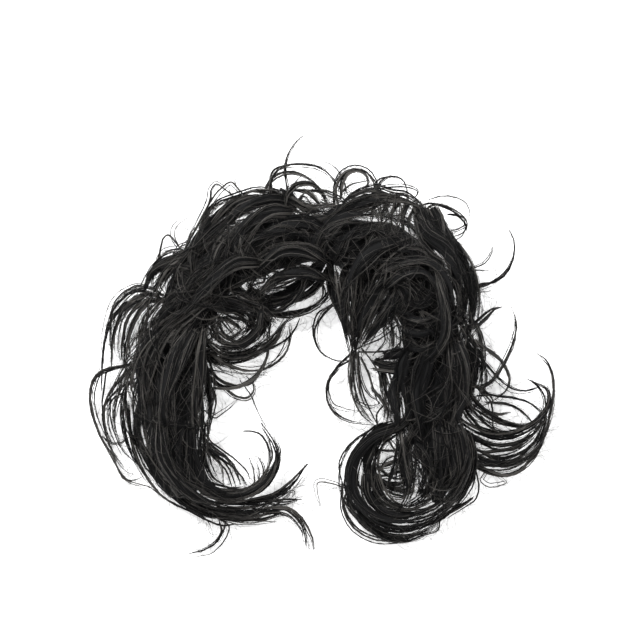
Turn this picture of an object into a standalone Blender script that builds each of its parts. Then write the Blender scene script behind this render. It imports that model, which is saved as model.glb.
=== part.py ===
"""Curly hair wrap for a top knot, lying open on a table as a horseshoe.

An elastic core cord carries eight bunches of hair side by side. Each bunch is a ribbed body round
the cord, bored for it, with its main curling locks fused on. The plan is laid out on a square grid
seen from straight above; heights are in millimetres above the table.
"""
import math

import bmesh
import bpy
import numpy as np
from mathutils import Vector

# The plan grid: its step, the point under the eye, and the height of the eye over the table.
MM = 0.001
GRID_STEP = 0.6 * MM
EYE_X, EYE_Y = 320.0, 320.0
EYE_HEIGHT = 1200 * MM
# The grid point that becomes the origin, in the middle of the whole piece.
CENTRE_X, CENTRE_Y = 323.7, 348.8

CORD_DIAMETER = 5.0 * MM
CORD_HEIGHT = 21.0 * MM
CORD_FIRST, CORD_LAST = 0.7, 19.3
CORD_STEPS = 36
CORD_SIDES = 8

CLEARANCE = 0.35 * MM
BODY_SIDES = 16
BODY_RIBS = 5
RIB_DEPTH = 0.13
RIB_TWIST = 0.9
BODY_MIDDLE = 20.0 * MM
BODY_BELOW = 23.0 * MM
SECTIONS_PER_STATION = 1.6
HEADING_REACH = 0.02
TABLE_CUTTER = 400 * MM

# Sides of a lock's tube. Columns: widest lock it is for (mm), sides.
LOCK_SIDES = ((3.5, 4), (7.5, 5), (20, 6))
TURN_PER_SEGMENT = math.radians(33)
LENGTH_PER_SEGMENT = 20 * MM
SMOOTH_POINTS = 16
FEWEST_ROWS = 5
# A lock swells from ROOT_SHARE of its width to all of it by FULL_AT of its length, then thins to
# TIP_SHARE at its tip.
ROOT_SHARE = 0.65
FULL_AT = 0.35
TIP_SHARE = 0.22
FADE_POWER = 1.6

HAIR_ROUGHNESS = 0.42
HAIR_SHARP = math.radians(40)
HAIR_BLUE = 1.05
CORD_GREY = 0.02
CORD_ROUGHNESS = 0.8
CORD_SHARP = math.radians(50)

# Stations along the cord, from the left end over the crown to the right end.
# Columns: plan x, plan y, reach to each side (mm), top height (mm).
STATIONS = (
    (192, 497, 8, 26),
    (184, 468, 12, 32),
    (172, 435, 17, 36),
    (166, 400, 20, 38),
    (168, 365, 20, 38),
    (179, 330, 20, 39),
    (195, 297, 21, 40),
    (217, 268, 22, 41),
    (248, 250, 22, 41),
    (284, 242, 20, 40),
    (320, 241, 17, 39),
    (355, 244, 20, 40),
    (388, 254, 22, 41),
    (413, 276, 22, 41),
    (427, 306, 23, 40),
    (431, 340, 22, 39),
    (432, 375, 22, 39),
    (432, 410, 21, 38),
    (436, 445, 17, 36),
    (441, 476, 13, 32),
    (436, 503, 8, 25),
)

# Bunches of hair. Columns: name, first station, last station, grey of the hair.
BUNCHES = (
    ("bunch_left_end", 0.0, 2.9, 0.013),
    ("bunch_left_side", 2.9, 5.0, 0.011),
    ("bunch_left_shoulder", 5.0, 7.5, 0.014),
    ("bunch_crown_left", 7.5, 10.0, 0.012),
    ("bunch_crown_right", 10.0, 12.5, 0.013),
    ("bunch_right_shoulder", 12.5, 15.0, 0.011),
    ("bunch_right_side", 15.0, 17.3, 0.014),
    ("bunch_right_end", 17.3, 20.0, 0.012),
)

# Locks of each bunch. Columns: name, width (mm), thickness (mm), heights at the root, middle and
# tip (mm), plan points from root to tip.
LOCKS = {
    "bunch_left_end": (
        ("sweep_outer", 10, 8, (18, 9, 7),
         ((158, 430), (170, 478), (198, 506), (238, 514), (275, 506), (295, 488), (308, 466))),
        ("sweep_inner", 11, 9, (22, 15, 22),
         ((182, 430), (192, 474), (214, 494), (245, 494), (270, 478), (277, 458), (271, 438))),
        ("sweep_fork", 5, 4, (10, 7, 4),
         ((185, 495), (215, 515), (255, 515), (285, 509), (302, 526), (310, 550))),
        ("fork_side", 3, 3, (7, 6, 3), ((262, 512), (288, 514), (302, 530), (306, 552))),
        ("end_pair", 1.6, 1.6, (8, 5, 2), ((212, 512), (228, 524), (222, 541), (205, 552), (186, 556))),
        ("arm_edge", 7, 7, (16, 8, 7), ((140, 400), (137, 432), (148, 462), (168, 491), (196, 510))),
        ("arm_flow", 11, 8, (34, 35, 24), ((150, 398), (152, 430), (166, 462), (190, 490), (214, 503))),
    ),
    "bunch_left_side": (
        ("far_loop", 2.4, 2, (20, 9, 5),
         ((150, 362), (118, 367), (95, 378), (90, 400), (98, 432), (114, 462), (128, 482), (158, 488))),
        ("near_loop", 5, 4, (22, 12, 8),
         ((152, 358), (126, 374), (107, 400), (105, 424), (114, 452), (128, 470), (148, 478))),
        ("side_flow", 12, 9, (36, 36, 33), ((168, 322), (148, 345), (140, 372), (146, 402), (156, 428))),
        ("inner_edge", 7, 7, (28, 26, 22), ((196, 350), (205, 375), (210, 402), (206, 432))),
        ("swag_wide", 8, 7, (26, 18, 24),
         ((178, 334), (202, 350), (232, 355), (262, 348), (282, 330), (289, 310))),
        ("swag_low", 3, 3, (24, 10, 16),
         ((192, 362), (212, 382), (236, 388), (258, 376), (268, 356), (268, 330))),
    ),
    "bunch_left_shoulder": (
        ("fan_far", 2.6, 2.2, (22, 15, 7),
         ((168, 300), (150, 288), (128, 290), (112, 306), (104, 334), (104, 364))),
        ("fan_middle", 5, 4, (24, 20, 14), ((172, 304), (148, 294), (124, 306), (111, 326), (110, 352))),
        ("fan_near", 6, 5, (26, 24, 26), ((176, 306), (150, 300), (130, 316), (123, 340), (124, 366))),
        ("shoulder_roll", 12, 10, (32, 27, 15), ((208, 292), (186, 268), (162, 266), (147, 282), (146, 306))),
        ("shoulder_lift", 13, 11, (32, 30, 22), ((192, 282), (196, 248), (212, 218), (236, 204))),
        ("shoulder_flow", 12, 8, (38, 40, 34), ((180, 318), (196, 282), (224, 262), (252, 272), (262, 296))),
    ),
    "bunch_crown_left": (
        ("crown_edge", 9, 8, (26, 30, 26), ((222, 226), (240, 202), (262, 194), (284, 201), (300, 218))),
        ("tall_arc", 1.8, 1.8, (28, 36, 28),
         ((280, 222), (270, 186), (278, 170), (296, 164), (322, 168), (336, 180), (344, 198))),
        ("short_arc", 2.2, 2, (22, 29, 20),
         ((262, 224), (268, 184), (284, 173), (304, 176), (320, 190), (328, 206))),
        ("crown_knot", 6, 6, (30, 36, 28), ((284, 222), (286, 196), (298, 185), (314, 186), (328, 204))),
        ("tall_wisp", 1.3, 1.3, (26, 30, 26), ((292, 216), (286, 184), (285, 166), (290, 150), (302, 138))),
        ("under_swag", 5, 5, (22, 14, 20), ((248, 292), (264, 311), (294, 313), (320, 303), (330, 286))),
        ("under_roll", 9, 8, (20, 20, 26), ((232, 284), (250, 302), (276, 302), (298, 288), (306, 268))),
        ("crown_flow", 12, 8, (36, 41, 34), ((244, 280), (250, 248), (278, 232), (304, 240), (312, 262))),
    ),
    "bunch_crown_right": (
        ("round_loop", 3, 2.6, (24, 32, 24),
         ((340, 214), (336, 190), (346, 173), (362, 170), (376, 184), (380, 214))),
        ("side_loop", 2.6, 2.2, (20, 24, 18), ((370, 224), (380, 183), (394, 177), (406, 188), (408, 208))),
        ("crown_brow", 8, 7, (26, 31, 24), ((344, 222), (364, 202), (390, 197), (414, 200), (428, 218))),
        ("pinch_left", 9, 7, (26, 20, 15), ((352, 256), (342, 282), (346, 318), (355, 354))),
        ("pinch_right", 11, 8, (36, 30, 16), ((392, 262), (380, 294), (364, 322), (355, 358))),
        ("bow_loop", 2, 2, (20, 8, 12),
         ((346, 296), (326, 312), (314, 332), (320, 352), (338, 361), (356, 355))),
        ("knot_loop", 2.4, 2, (16, 6, 8),
         ((355, 350), (336, 368), (327, 388), (330, 406), (346, 420), (376, 425))),
        ("drop_string", 4, 3, (16, 12, 14), ((355, 350), (352, 376), (356, 400), (374, 424))),
        ("brow_flow", 12, 8, (38, 40, 34), ((330, 262), (352, 236), (382, 232), (404, 248))),
    ),
    "bunch_right_shoulder": (
        ("temple_loop", 4, 3, (26, 30, 22),
         ((416, 226), (432, 206), (452, 209), (466, 222), (460, 236), (444, 242))),
        ("shoulder_edge", 10, 10, (26, 24, 12), ((420, 232), (446, 238), (464, 262), (473, 292), (471, 322))),
        ("long_arc", 2.2, 2, (22, 18, 14), ((460, 290), (486, 285), (506, 272), (515, 250), (508, 228))),
        ("side_tuft", 4, 3.4, (22, 20, 16), ((456, 322), (472, 326), (488, 315), (503, 306))),
        ("ringlet", 15, 11, (36, 36, 28), ((396, 276), (412, 296), (417, 322), (410, 350))),
        ("ring_band", 9, 8, (26, 33, 24), ((380, 358), (402, 354), (426, 358), (446, 340), (450, 310))),
        ("temple_flow", 12, 8, (38, 40, 36), ((396, 252), (426, 254), (446, 280), (450, 318))),
    ),
    "bunch_right_side": (
        ("cross_arc", 2.2, 2, (20, 18, 14),
         ((462, 386), (486, 386), (504, 364), (516, 336), (512, 306))),
        ("elbow_arc", 2.8, 2.4, (24, 10, 8),
         ((458, 336), (480, 345), (500, 360), (510, 380), (504, 394), (486, 404))),
        ("curl_middle", 3.4, 3, (18, 14, 26),
         ((456, 392), (478, 410), (506, 425), (534, 425), (550, 404), (546, 386), (530, 381))),
        ("curl_band", 7, 5, (18, 22, 20), ((444, 410), (484, 434), (516, 434), (540, 420), (548, 398))),
        ("side_edge", 9, 9, (28, 22, 14), ((462, 340), (474, 362), (470, 396), (458, 424))),
        ("side_drop", 12, 8, (36, 37, 34), ((416, 336), (404, 366), (404, 396), (410, 420))),
        ("side_drape", 11, 8, (36, 38, 33), ((448, 330), (452, 366), (448, 400), (438, 432))),
    ),
    "bunch_right_end": (
        ("curl_outer", 4.6, 4, (14, 5, 9),
         ((446, 446), (484, 467), (514, 466), (540, 446), (554, 412), (553, 378), (538, 354))),
        ("curl_low", 7, 6, (18, 12, 14), ((440, 440), (480, 460), (512, 460), (536, 442), (545, 414))),
        ("ring_outer", 10, 8, (26, 12, 14),
         ((408, 420), (376, 432), (352, 456), (347, 488), (366, 520), (398, 533), (434, 520), (456, 488))),
        ("ring_inner", 7, 6, (30, 20, 22),
         ((414, 424), (384, 442), (372, 466), (378, 494), (402, 510), (430, 504), (444, 478))),
        ("ring_low", 3, 3, (10, 5, 4), ((350, 484), (344, 504), (356, 528), (384, 540), (420, 537))),
        ("bar_drop", 10, 7, (30, 24, 18), ((420, 424), (406, 448), (403, 476), (408, 502))),
        ("end_flow", 12, 8, (34, 33, 22), ((446, 418), (452, 446), (454, 474), (438, 504))),
        ("end_edge", 8, 7, (26, 14, 8), ((462, 428), (470, 456), (464, 486), (440, 512))),
    ),
}


def grid_to_world(points, heights):
    """Place plan grid points at their heights, as seen from the eye over the table."""
    shrink = 1 - heights / EYE_HEIGHT
    x = GRID_STEP * ((points[:, 0] - EYE_X) * shrink - (CENTRE_X - EYE_X))
    y = GRID_STEP * ((EYE_Y - points[:, 1]) * shrink - (EYE_Y - CENTRE_Y))
    return np.column_stack((x, y, heights))


def smooth_line(points):
    """Draw a smooth line through the points, in short straight steps."""
    points = np.asarray(points, float)
    ends = (2 * points[0] - points[1], 2 * points[-1] - points[-2])
    padded = np.vstack((ends[0], points, ends[1]))
    knots = np.concatenate(([0], np.cumsum(np.linalg.norm(np.diff(padded, axis=0), axis=1) ** 0.5)))
    pieces = []
    for i in range(1, len(padded) - 2):
        before, start, end, after = padded[i - 1:i + 3]
        k0, k1, k2, k3 = knots[i - 1:i + 3]
        span = k2 - k1
        leave = span * ((start - before) / (k1 - k0) - (end - before) / (k2 - k0) + (end - start) / span)
        arrive = span * ((end - start) / span - (after - start) / (k3 - k1) + (after - end) / (k3 - k2))
        share = np.linspace(0, 1, SMOOTH_POINTS, endpoint=False)[:, None]
        pieces.append((2 * share ** 3 - 3 * share ** 2 + 1) * start + (share ** 3 - share ** 2) * arrive
                      + (share ** 3 - 2 * share ** 2 + share) * leave
                      + (3 * share ** 2 - 2 * share ** 3) * end)
    return np.vstack(pieces + [padded[-2:-1]])


def even_rows(line, marks, count):
    """Read a line again at count rows, spread evenly over its rising marks."""
    wanted = np.linspace(0, marks[-1], count)
    return np.column_stack([np.interp(wanted, marks, line[:, i]) for i in range(line.shape[1])])


def distance_along(line):
    """The distance from the start of a line to each of its points."""
    steps = np.linalg.norm(np.diff(line, axis=0), axis=1)
    return np.concatenate(([0], np.cumsum(steps)))


def lock_path(heights, points):
    """The middle line of a lock, with more rows where it curls, and each row's share of its length."""
    line = smooth_line(points)
    share = distance_along(line)
    share = share / share[-1]
    root, middle, tip = (h * MM for h in heights)
    rise = 2 * (root + tip - 2 * middle) * share ** 2 + (4 * middle - 3 * root - tip) * share + root
    path = grid_to_world(line, rise)
    length = distance_along(path)
    steps = np.diff(path, axis=0)
    heading = np.unwrap(np.arctan2(steps[:, 1], steps[:, 0]))
    turning = np.concatenate(([0, 0], np.cumsum(np.abs(np.diff(heading)))))
    marks = length / LENGTH_PER_SEGMENT + turning / TURN_PER_SEGMENT
    count = max(FEWEST_ROWS, math.ceil(marks[-1]) + 1)
    rows = even_rows(np.column_stack((path, length / length[-1])), marks, count)
    return rows[:, :3], rows[:, 3]


def tube(name, path, half_widths, half_heights, sides):
    """A closed tube along a path, oval across: its width lies level, its height stands."""
    forward = np.gradient(path, axis=0)
    forward /= np.linalg.norm(forward, axis=1)[:, None]
    level = np.cross((0, 0, 1), forward)
    level /= np.linalg.norm(level, axis=1)[:, None]
    upright = np.cross(forward, level)
    mesh = bmesh.new()
    rings = []
    for middle, across, up, width, height in zip(path, level, upright, half_widths, half_heights):
        ring = []
        for i in range(sides):
            angle = 2 * math.pi * (i + 0.5) / sides
            ring.append(mesh.verts.new(middle + across * width * math.cos(angle)
                                       + up * height * math.sin(angle)))
        rings.append(ring)
    return close_rings(name, mesh, rings)


def close_rings(name, mesh, rings):
    """Join rings of points into a closed skin, end it with flat caps and make it an object."""
    sides = len(rings[0])
    corners = [(i, (i + 1) % sides) for i in range(sides)]
    for first, second in zip(rings, rings[1:]):
        for i, j in corners:
            mesh.faces.new((first[i], first[j], second[j], second[i]))
    for ring in (rings[0], rings[-1]):
        hub = mesh.verts.new(sum((corner.co for corner in ring), Vector()) / sides)
        for i, j in corners:
            mesh.faces.new((ring[i], ring[j], hub))
    bmesh.ops.triangulate(mesh, faces=mesh.faces[:])
    bmesh.ops.recalc_face_normals(mesh, faces=mesh.faces[:])
    data = bpy.data.meshes.new(name)
    mesh.to_mesh(data)
    mesh.free()
    piece = bpy.data.objects.new(name, data)
    bpy.context.scene.collection.objects.link(piece)
    return piece


def add_lock(row, grow):
    """One lock, thickest near its root and drawn out to its tip; grow widens it all round."""
    name, width, thickness, heights, points = row
    path, share = lock_path(heights, points)
    if grow:
        path[0] -= grow * (path[1] - path[0]) / np.linalg.norm(path[1] - path[0])
        path[-1] += grow * (path[-1] - path[-2]) / np.linalg.norm(path[-1] - path[-2])
    swell = ROOT_SHARE + (1 - ROOT_SHARE) * np.sin(np.minimum(share / FULL_AT, 1) * math.pi / 2)
    past_full = np.clip((share - FULL_AT) / (1 - FULL_AT), 0, 1)
    radius = swell * (1 - (1 - TIP_SHARE) * past_full ** FADE_POWER) * MM / 2
    sides = next(count for widest, count in LOCK_SIDES if width <= widest)
    return tube(name, path, radius * width + grow, radius * thickness + grow, sides)


def station_lines():
    """The stations as a smooth line of plan x, plan y, reach and top, and its station numbers."""
    line = smooth_line(STATIONS)
    numbers = np.linspace(0, len(STATIONS) - 1, len(line))
    return line, numbers


def read_stations(wanted):
    """Plan x, plan y, reach and top at any station numbers."""
    line, numbers = station_lines()
    return np.column_stack([np.interp(wanted, numbers, line[:, i]) for i in range(4)])


def add_body(name, first, last):
    """The ribbed body of a bunch: flat ended sections across the cord, twisting as they go."""
    count = math.ceil(SECTIONS_PER_STATION * (last - first)) + 1
    wanted = np.linspace(first, last, count)
    rows = read_stations(wanted)
    middle = np.full(count, BODY_MIDDLE)
    path = grid_to_world(rows[:, :2], middle)
    ahead = grid_to_world(read_stations(wanted + HEADING_REACH)[:, :2], middle)
    behind = grid_to_world(read_stations(wanted - HEADING_REACH)[:, :2], middle)
    forward = ahead - behind
    forward /= np.linalg.norm(forward, axis=1)[:, None]
    path[0] += forward[0] * CLEARANCE / 2
    path[-1] -= forward[-1] * CLEARANCE / 2
    mesh = bmesh.new()
    rings = []
    for i, number in enumerate(wanted):
        across = np.cross((0, 0, 1), forward[i])
        above = rows[i, 3] * MM - BODY_MIDDLE
        ring = []
        for side in range(BODY_SIDES):
            angle = 2 * math.pi * (side + 0.5) / BODY_SIDES
            rib = 1 + RIB_DEPTH * math.cos(BODY_RIBS * angle + RIB_TWIST * number)
            height = (above if math.sin(angle) > 0 else BODY_BELOW) * math.sin(angle)
            ring.append(mesh.verts.new(path[i] + across * rib * rows[i, 2] * MM * math.cos(angle)
                                       + np.array((0, 0, rib * height))))
        rings.append(ring)
    return close_rings(name, mesh, rings)


def add_cord(name, radius, extra):
    """The cord, or the bore for it: a round tube along the stations at one height."""
    rows = read_stations(np.linspace(CORD_FIRST, CORD_LAST, CORD_STEPS))
    path = grid_to_world(rows[:, :2], np.full(CORD_STEPS, CORD_HEIGHT))
    path = even_rows(path, distance_along(path), CORD_STEPS)
    path[0] -= extra * (path[1] - path[0]) / np.linalg.norm(path[1] - path[0])
    path[-1] += extra * (path[-1] - path[-2]) / np.linalg.norm(path[-1] - path[-2])
    radii = np.full(CORD_STEPS, radius)
    return tube(name, path, radii, radii, CORD_SIDES)


def add_table_cutter():
    """A block below the table top, to flatten what would lie lower."""
    bpy.ops.mesh.primitive_cube_add(size=TABLE_CUTTER, location=(0, 0, -TABLE_CUTTER / 2))
    return bpy.context.object


def box_of(piece):
    """The lowest and highest corners of an object."""
    corners = np.array([vertex.co for vertex in piece.data.vertices])
    return corners.min(axis=0), corners.max(axis=0)


def boxes_meet(first, second):
    """True where the boxes of two objects touch or overlap."""
    low_a, high_a = box_of(first)
    low_b, high_b = box_of(second)
    return bool(np.all(low_a <= high_b) and np.all(low_b <= high_a))


def combine(piece, operation, tools):
    """Join the tools to a piece or cut them out of it, and remove them."""
    used = [tool for tool in tools if operation == "UNION" or boxes_meet(piece, tool)]
    if used:
        group = bpy.data.collections.new("tools")
        bpy.context.scene.collection.children.link(group)
        for tool in used:
            group.objects.link(tool)
        modifier = piece.modifiers.new("combine", "BOOLEAN")
        modifier.operation = operation
        modifier.solver = "EXACT"
        modifier.operand_type = "COLLECTION"
        modifier.collection = group
        with bpy.context.temp_override(object=piece, active_object=piece):
            bpy.ops.object.modifier_apply(modifier=modifier.name)
        bpy.data.collections.remove(group)
    for tool in tools:
        bpy.data.objects.remove(tool)


def keep_largest(piece):
    """Drop the crumbs that a cut has left apart from the main body."""
    mesh = bmesh.new()
    mesh.from_mesh(piece.data)
    bmesh.ops.triangulate(mesh, faces=mesh.faces[:])
    left = set(mesh.faces)
    shells = []
    while left:
        shell, frontier = set(), [left.pop()]
        while frontier:
            face = frontier.pop()
            shell.add(face)
            for edge in face.edges:
                for other in edge.link_faces:
                    if other in left:
                        left.remove(other)
                        frontier.append(other)
        shells.append(shell)
    shells.sort(key=len, reverse=True)
    for shell in shells[1:]:
        bmesh.ops.delete(mesh, geom=list(shell), context="FACES")
    mesh.to_mesh(piece.data)
    mesh.free()


def hair_material(name, grey):
    """Near black hair with a soft gloss."""
    material = bpy.data.materials.new(name)
    material.use_nodes = True
    shader = material.node_tree.nodes["Principled BSDF"]
    shader.inputs["Base Color"].default_value = (grey, grey, grey * HAIR_BLUE, 1)
    shader.inputs["Roughness"].default_value = HAIR_ROUGHNESS
    return material


def cord_material():
    """Black elastic cord, duller than the hair."""
    material = bpy.data.materials.new("core_cord")
    material.use_nodes = True
    shader = material.node_tree.nodes["Principled BSDF"]
    shader.inputs["Base Color"].default_value = (CORD_GREY, CORD_GREY, CORD_GREY, 1)
    shader.inputs["Roughness"].default_value = CORD_ROUGHNESS
    return material


def add_bunch(index):
    """One bunch: body and locks in one, clear of the cord, the table and the other bunches."""
    name, first, last, grey = BUNCHES[index]
    piece = add_body(name, first, last)
    later = [row for other in BUNCHES[index + 1:] for row in LOCKS[other[0]]]
    earlier = [row for other in BUNCHES[:index] for row in LOCKS[other[0]]]
    combine(piece, "DIFFERENCE", [add_lock(row, CLEARANCE) for row in later])
    combine(piece, "UNION", [add_lock(row, 0) for row in LOCKS[name]])
    cutters = [add_lock(row, CLEARANCE) for row in earlier]
    cutters.append(add_cord("bore", CORD_DIAMETER / 2 + CLEARANCE, CLEARANCE))
    cutters.append(add_table_cutter())
    combine(piece, "DIFFERENCE", cutters)
    keep_largest(piece)
    piece.data.shade_smooth()
    piece.data.set_sharp_from_angle(angle=HAIR_SHARP)
    piece.data.materials.clear()
    piece.data.materials.append(hair_material(name, grey))
    return piece


def main():
    for old in list(bpy.data.objects):
        bpy.data.objects.remove(old)
    for index in range(len(BUNCHES)):
        add_bunch(index)
    cord = add_cord("core_cord", CORD_DIAMETER / 2, 0)
    cord.data.shade_smooth()
    cord.data.set_sharp_from_angle(angle=CORD_SHARP)
    cord.data.materials.append(cord_material())


main()
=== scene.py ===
"""Curly off-black hair wrap for a top knot, lying open as a horseshoe on a pale table.

Every bunch of hair is one joined mesh of thin closed strands. The strands follow the wrap's locks
and loose strings, and rolls of hair wind round the core between them. The core cord keeps its own
solid, in braided elastic.
"""

import math

import bpy
import numpy as np
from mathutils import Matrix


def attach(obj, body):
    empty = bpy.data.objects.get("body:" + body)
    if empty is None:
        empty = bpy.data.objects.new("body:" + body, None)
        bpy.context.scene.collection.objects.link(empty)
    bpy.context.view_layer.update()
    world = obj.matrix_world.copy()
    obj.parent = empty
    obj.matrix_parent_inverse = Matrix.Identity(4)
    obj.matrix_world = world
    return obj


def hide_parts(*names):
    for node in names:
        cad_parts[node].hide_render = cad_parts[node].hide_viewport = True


MM = 0.001
# The plan grid: its step, the point under the eye, and the height of the eye over the table.
GRID_STEP = 0.6 * MM
EYE_X, EYE_Y = 320.0, 320.0
EYE_HEIGHT = 1200 * MM
# The grid point that is the origin, in the middle of the whole piece.
CENTRE_X, CENTRE_Y = 323.7, 348.8
PICTURE_WIDTH = 640 * GRID_STEP
SENSOR_WIDTH = 36.0

SEED = 26
# Heights (mm) of the core's middle and of the underside of the hair round it.
CORE_HEIGHT, UNDERSIDE = 20.0, 1

# Stations along the core, from the left end over the crown to the right end.
# Columns: plan x, plan y, reach to each side (mm), top height (mm).
STATIONS = (
    (192, 497, 8, 26),
    (184, 468, 12, 32),
    (172, 435, 17, 36),
    (166, 400, 20, 38),
    (168, 365, 20, 38),
    (179, 330, 20, 39),
    (195, 297, 21, 40),
    (217, 268, 22, 41),
    (248, 250, 22, 41),
    (284, 242, 20, 40),
    (320, 241, 17, 39),
    (355, 244, 20, 40),
    (388, 254, 22, 41),
    (413, 276, 22, 41),
    (427, 306, 23, 40),
    (431, 340, 22, 39),
    (432, 375, 22, 39),
    (432, 410, 21, 38),
    (436, 445, 17, 36),
    (441, 476, 13, 32),
    (436, 503, 8, 25),
)

# Bunches of hair. Columns: name, first station, last station, way that its hair runs along the
# core, rolls of hair wound round the core, short curls, and painted light and shade: how much
# lighter or darker its hair is painted for how the light falls on it, darker on the right side.
BUNCHES = (
    ("left_end", 0.0, 2.9, -1, 11, 18, 0.0),
    ("left_side", 2.9, 5.0, -1, 12, 28, 0.0),
    ("left_shoulder", 5.0, 7.5, -1, 14, 60, 0.0),
    ("crown_left", 7.5, 10.0, -1, 14, 64, 0.02),
    ("crown_right", 10.0, 12.5, 1, 14, 64, 0.03),
    ("right_shoulder", 12.5, 15.0, 1, 12, 36, -0.07),
    ("right_side", 15.0, 17.3, 1, 13, 36, -0.07),
    ("right_end", 17.3, 20.0, 1, 13, 30, -0.02),
)

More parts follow.
